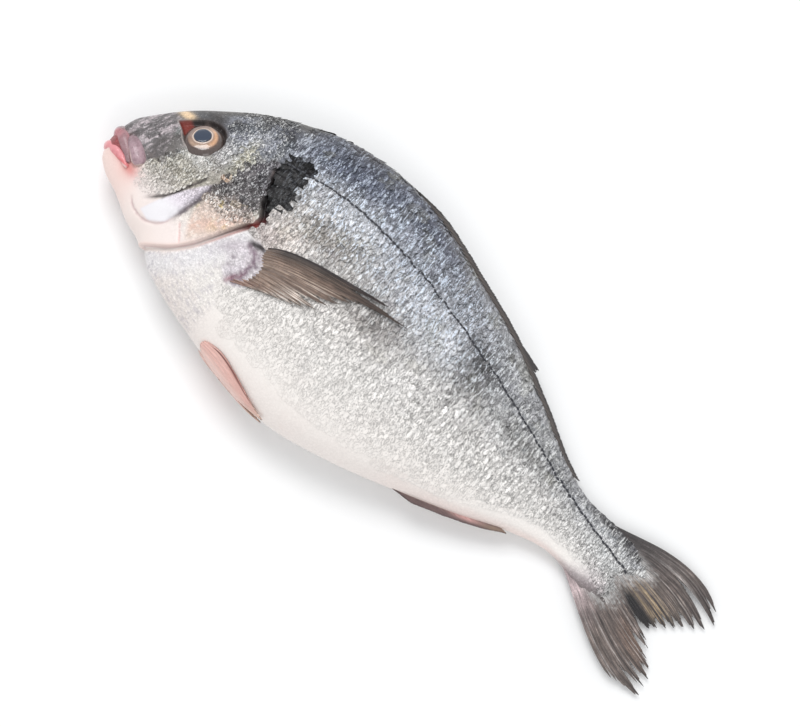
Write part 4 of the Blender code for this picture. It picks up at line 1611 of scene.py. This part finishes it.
def fin(name, place, side, paint, material, rays, size, thick, edge, ridge=0.3):
    """One fin: a fine sheet with a ridge for each ray, which thins out to its ragged far edge.

    size is its number of rows and of columns between two rays."""
    rows, columns = size[0], (rays - 1) * size[1] + 1
    u, v = np.meshgrid(np.linspace(0, 1, rows), np.linspace(0, 1, columns), indexing="ij")
    reach = u * (1 - (1 - far_edge(v[0], rays, **edge)) * u**2)
    middle = place(reach, v)
    along = place(reach + 0.01, v) - place(reach - 0.01, v)
    normal = unit(np.cross(along, np.gradient(middle, axis=1)))
    if normal[rows // 2, columns // 2, 2] < 0:
        normal = -normal
    on_ray = branching(rays, reach, v)
    thin = 1 - FIN_THINNING * u
    lift = ridge * (on_ray - 0.4) * (0.35 + 0.65 * thin)
    mesh = grid_mesh(name, laid(middle + normal * lift[..., None], side))
    colour, contrast = paint(reach, v, on_ray)
    width, height = length_of(middle[rows // 2]), length_of(middle[:, columns // 2])
    along_rays = np.stack((v * width, reach * height, 0 * v), -1)
    store(mesh, tint=colour, contrast=contrast, along_rays=along_rays)
    made = new_object(name, mended(mesh))
    weights = made.vertex_groups.new(name="thick")
    for index, weight in enumerate(thin.ravel()):
        weights.add([index], float(weight), "REPLACE")
    shell = made.modifiers.new("Thickness", "SOLIDIFY")
    shell.thickness = thick * MM
    shell.offset = 0
    shell.vertex_group = "thick"
    shell.thickness_vertex_group = THINNEST
    finished(plain(made), material)


def length_of(points):
    """Length of the path through a row of points."""
    return np.linalg.norm(np.diff(points, axis=0), axis=1).sum()


def strands(u, v, count, seed):
    """Streaks from -1 to 1 that run along a fin's rays."""
    broad = mottle(v * count, u * 1.6, 1.0, seed)
    return 0.7 * broad + 0.5 * mottle(v * count * 2.7, u * 2.4, 1.0, seed + 1)


def tail_paint(u, v, on_ray):
    """Grey brown with dark rays, ochre in the upper lobe and nearly black at the fork."""
    paint = coat(u, (109, 98, 93))
    streak = strands(u, v, 110, 41)
    rays = ramp(0.2, 0.4, u)
    lay(paint, (196, 178, 180), 0.8 * ramp(0.8, 0.95, v) * ramp(0.5, 0.1, u))
    lay(paint, (124, 98, 84), 0.6 * bump(v - 0.74, 0.1) * ramp(0.45, 0.7, u))
    lay(paint, (172, 165, 162), 0.7 * ramp(0.15, 0.8, streak) * rays)
    ochre = ramp(0.35, 0.6, u) * ramp(1.05, 0.8, u) * ramp(-0.4, 0.6, streak)
    lay(paint, (160, 138, 104), 0.85 * ochre * bump(v - 0.35, 0.1))
    lay(paint, (92, 86, 86), 0.6 * bump(v - 0.03, 0.12) * ramp(0.8, 0.3, u))
    lay(paint, (50, 44, 44), 0.9 * ramp(-0.1, -0.7, streak) * rays)
    lay(paint, (80, 72, 70), 0.4 * (1 - on_ray) * rays)
    fork = bump(v - 0.475, 0.055) * ramp(0.4, 0.65, u)
    lay(paint, (26, 25, 28), np.clip(1.6 * fork, 0, 0.97))
    lay(paint, (54, 48, 47), 0.7 * ramp(0.78, 1, u))
    lay(paint, (52, 48, 49), 0.85 * ramp(0.24, 0.04, v) * ramp(0.65, 0.2, u))
    x, y, _ = np.moveaxis(tail_place(u, v), -1, 0)
    past = x - tail_reach(share_at(x, y))
    grains = mottle(x, y, 0.7, 49)
    dust = ramp(10, -1, past + 4.0 * streak + 3.0 * grains) * ramp(0.06, 0.22, v) * ramp(0.95, 0.8, v)
    lay(paint, (194, 193, 192), 0.85 * dust)
    lay(paint, (52, 46, 46), 0.6 * ramp(0.14, 0.08, v) * ramp(0.6, 0.8, u))
    return paint, 0.9 + 0.1 * u


def pectoral_paint(u, v, on_ray):
    """Dark brown, nearly black along the top, with pale streaks where the lower rays thin out."""
    paint = coat(u, (122, 102, 90))
    streak = strands(u, v, 100, 45)
    lay(paint, (176, 156, 140), 0.7 * ramp(0.1, 0.8, streak))
    lay(paint, (72, 58, 52), 0.8 * ramp(-0.1, -0.8, streak))
    low = ramp(0.25, 0.7, v) * ramp(0.35, 0.8, u)
    lay(paint, (220, 211, 203), 0.9 * ramp(-0.2, 0.4, streak) * low)
    lay(paint, (150, 112, 102), 0.5 * ramp(0.7, 1, v) * ramp(0.7, 0.3, u))
    dark = ramp(0.3, 0.0, v + 0.08 * streak)
    lay(paint, (42, 34, 31), 0.94 * dark * ramp(0.0, 0.15, u))
    lay(paint, (56, 46, 42), 0.8 * ramp(0.4, 0.14, v) * ramp(0.45, 0.75, u))
    lay(paint, (64, 54, 50), 0.7 * ramp(0.82, 0.95, u))
    lay(paint, (44, 36, 36), 0.85 * ramp(0.05, 0.01, v))
    return paint, np.full(u.shape, 0.8)


def pelvic_paint(u, v, on_ray):
    paint = coat(u, (228, 184, 174))
    streak = strands(u, v, 26, 47)
    lay(paint, (206, 162, 152), 0.4 * ramp(0.0, 0.8, streak))
    lay(paint, (240, 214, 204), 0.5 * ramp(0.5, 0.9, v))
    lay(paint, (196, 140, 128), 0.6 * ramp(0.3, 0.1, v) * ramp(0.2, 0.5, u))
    inner = bump(v - 0.07 - 0.1 * ramp(0.4, 1, u), 0.06) * ramp(0.02, 0.12, u) * ramp(1.0, 0.6, u)
    lay(paint, (104, 52, 46), np.clip(1.3 * inner, 0, 0.95))
    lay(paint, (228, 206, 186), 0.6 * ramp(0.75, 1, u))
    return paint, np.full(u.shape, 0.14)


def dorsal_paint(u, v, on_ray):
    paint = coat(u, (72, 68, 70))
    lay(paint, (116, 106, 96), 0.45 * on_ray)
    lay(paint, (50, 46, 47), 0.8 * ramp(0.7, 1, u))
    return paint, np.full(u.shape, 0.35)


def anal_paint(u, v, on_ray):
    paint = coat(u, (112, 92, 90))
    lay(paint, (226, 196, 188), 0.85 * ramp(0.6, 0.3, u))
    lay(paint, (224, 178, 172), 0.8 * bump(v - 0.72, 0.12) * ramp(0.9, 0.6, u))
    lay(paint, (150, 128, 108), 0.6 * ramp(0.75, 0.9, v) * ramp(0.5, 0.8, u))
    lay(paint, (84, 68, 68), 0.7 * ramp(0.85, 1, u))
    return paint, np.full(u.shape, 0.3)


EVEN = {"fray": (0.05, 0.05, 0.05)}
TAIL_END = {
    "seed": 3,
    "fray": (0.05, 0.05, 0.08),
    "torn": 0.3,
    "groups": 17,
    "gap_depth": (0.13, 0.13, 0.2),
    "splits": (
        (0.0, 0.2, 0.018),
        (0.085, 0.36, 0.024),
        (0.53, 0.3, 0.026),
        (0.7, 0.24, 0.024),
        (1.0, 0.28, 0.03),
    ),
}
PECTORAL_END = {
    "seed": 4,
    "fray": (0.06, 0.12, 0.14),
    "torn": 0.3,
    "groups": 13,
    "gap_depth": (0.05, 0.2, 0.2),
    "splits": ((0.065, 0.42, 0.045), (0.33, 0.16, 0.02), (0.55, 0.2, 0.02), (0.8, 0.2, 0.02)),
}
PELVIC_END = {"seed": 5, **EVEN}
DORSAL_END = {"seed": 6, "fray": (0.2, 0.1, 0.1), "long_ray": (16, 1.35)}
ANAL_END = {"seed": 7, **EVEN}


def fins(material):
    fin("tail_fin", tail_place, 1, tail_paint, material, 19, (64, 24), 0.7, TAIL_END)
    for word, side in (("left", 1), ("right", -1)):
        look = (side, pectoral_paint, material)
        fin("pectoral_" + word, pectoral_place, *look, 15, (56, 20), 0.6, PECTORAL_END)
        look = (side, pelvic_paint, material)
        fin("pelvic_" + word, pelvic_place, *look, 6, (36, 14), 0.9, PELVIC_END, 0.2)
    on_back = folded_place(back, DORSAL, DORSAL_HEIGHT, 1, 16.0)
    fin("dorsal_fin", on_back, 1, dorsal_paint, material, 26, (14, 10), 1.2, DORSAL_END)
    on_belly = folded_place(belly, ANAL, ANAL_HEIGHT, -1, 12.0)
    fin("anal_fin", on_belly, 1, anal_paint, material, 12, (14, 12), 1.2, ANAL_END)


# The stage

ROLL = math.radians(41)  # the fish's slope in the picture
LEAN = math.radians(10)  # the camera stands a little to the belly's side
AIM = (138.1, 12.57)  # centre of the picture, along the fish and up its leaning side view
PICTURE_WIDTH = 304.0
CAMERA_DISTANCE = 1200.0
SENSOR = 36.0
FLOOR_REACH = 3.0
SKY_STRENGTH = 0.63
# Name, direction, distance, size and power
LIGHTS = (
    ("key", (-0.55, 0.35, 0.9), 1.3, 0.7, 9.4),
    ("fill", (0.5, -0.5, 0.8), 1.5, 1.0, 4.6),
)


def camera():
    along = Vector((1, 0, 0))
    upward = Vector((0, math.cos(LEAN), math.sin(LEAN)))
    towards = Vector((0, -math.sin(LEAN), math.cos(LEAN)))
    right = math.cos(ROLL) * along + math.sin(ROLL) * upward
    up = -math.sin(ROLL) * along + math.cos(ROLL) * upward
    aim = along * AIM[0] + upward * AIM[1] + Vector((-MIDDLE[0], -MIDDLE[1], REST_DEPTH))
    lens = bpy.data.cameras.new("photo_side")
    lens.sensor_width = SENSOR
    lens.lens = SENSOR * CAMERA_DISTANCE / PICTURE_WIDTH
    made = new_object("photo_side", lens)
    stand = Matrix((right, up, towards)).transposed().to_4x4()
    stand.translation = (aim + towards * CAMERA_DISTANCE) * MM
    made.matrix_world = stand
    bpy.context.scene.camera = made


def area_light(name, direction, distance, size, power):
    light = bpy.data.lights.new(name, "AREA")
    light.shape = "SQUARE"
    light.size = size
    light.energy = power
    made = new_object(name, light)
    aim = Vector(direction).normalized()
    made.location = aim * distance
    made.rotation_euler = aim.to_track_quat("Z", "Y").to_euler()


def stage():
    """A plain pale floor, a white sky and soft lights."""
    ends = (-FLOOR_REACH, FLOOR_REACH)
    mesh = grid_mesh("floor", np.array([[(x, y, 0.0) for y in ends] for x in ends]))
    floor = new_object("floor", mesh)
    pale = bpy.data.materials.new("pale_floor")
    pale.use_nodes = True
    shader = pale.node_tree.nodes["Principled BSDF"]
    shader.inputs["Base Color"].default_value = (0.93, 0.93, 0.93, 1)
    shader.inputs["Roughness"].default_value = 0.9
    shader.inputs["Specular IOR Level"].default_value = 0.1
    mesh.materials.append(pale)
    world = bpy.data.worlds.new("sky")
    world.use_nodes = True
    sky = world.node_tree.nodes["Background"]
    sky.inputs["Color"].default_value = (0.97, 0.985, 1.0, 1)
    sky.inputs["Strength"].default_value = SKY_STRENGTH
    bpy.context.scene.world = world
    for light in LIGHTS:
        area_light(*light)
    bpy.context.scene.view_settings.view_transform = "Standard"


stage()
camera()
body_skin()
tree = scale_tree(scale_finish("trunk_scales", 4.2, True))
scales("trunk_scales", scale_places(SCALE_STEP, 56, 263, 0.12, 1), trunk_places, SCALE_STEP, 1.0, tree, 2)
tree = scale_tree(scale_finish("head_scales", 1.5, False))
scales("cover_scales", scale_places(COVER_STEP, 36, 64, 0.2, 3), cover_places, COVER_STEP, 0.8, tree, 4)
scales("cheek_scales", scale_places(CHEEK_STEP, 16, 78, 0.22, 5), cheek_places, CHEEK_STEP, 0.45, tree, 6)
lateral_line()
eye_look = eye_finish()
finished(eye("eye_left", 1), eye_look)
finished(eye("eye_right", -1), eye_look)
mouth(lip_finish())
fins(fin_finish("fin_rays_and_web"))
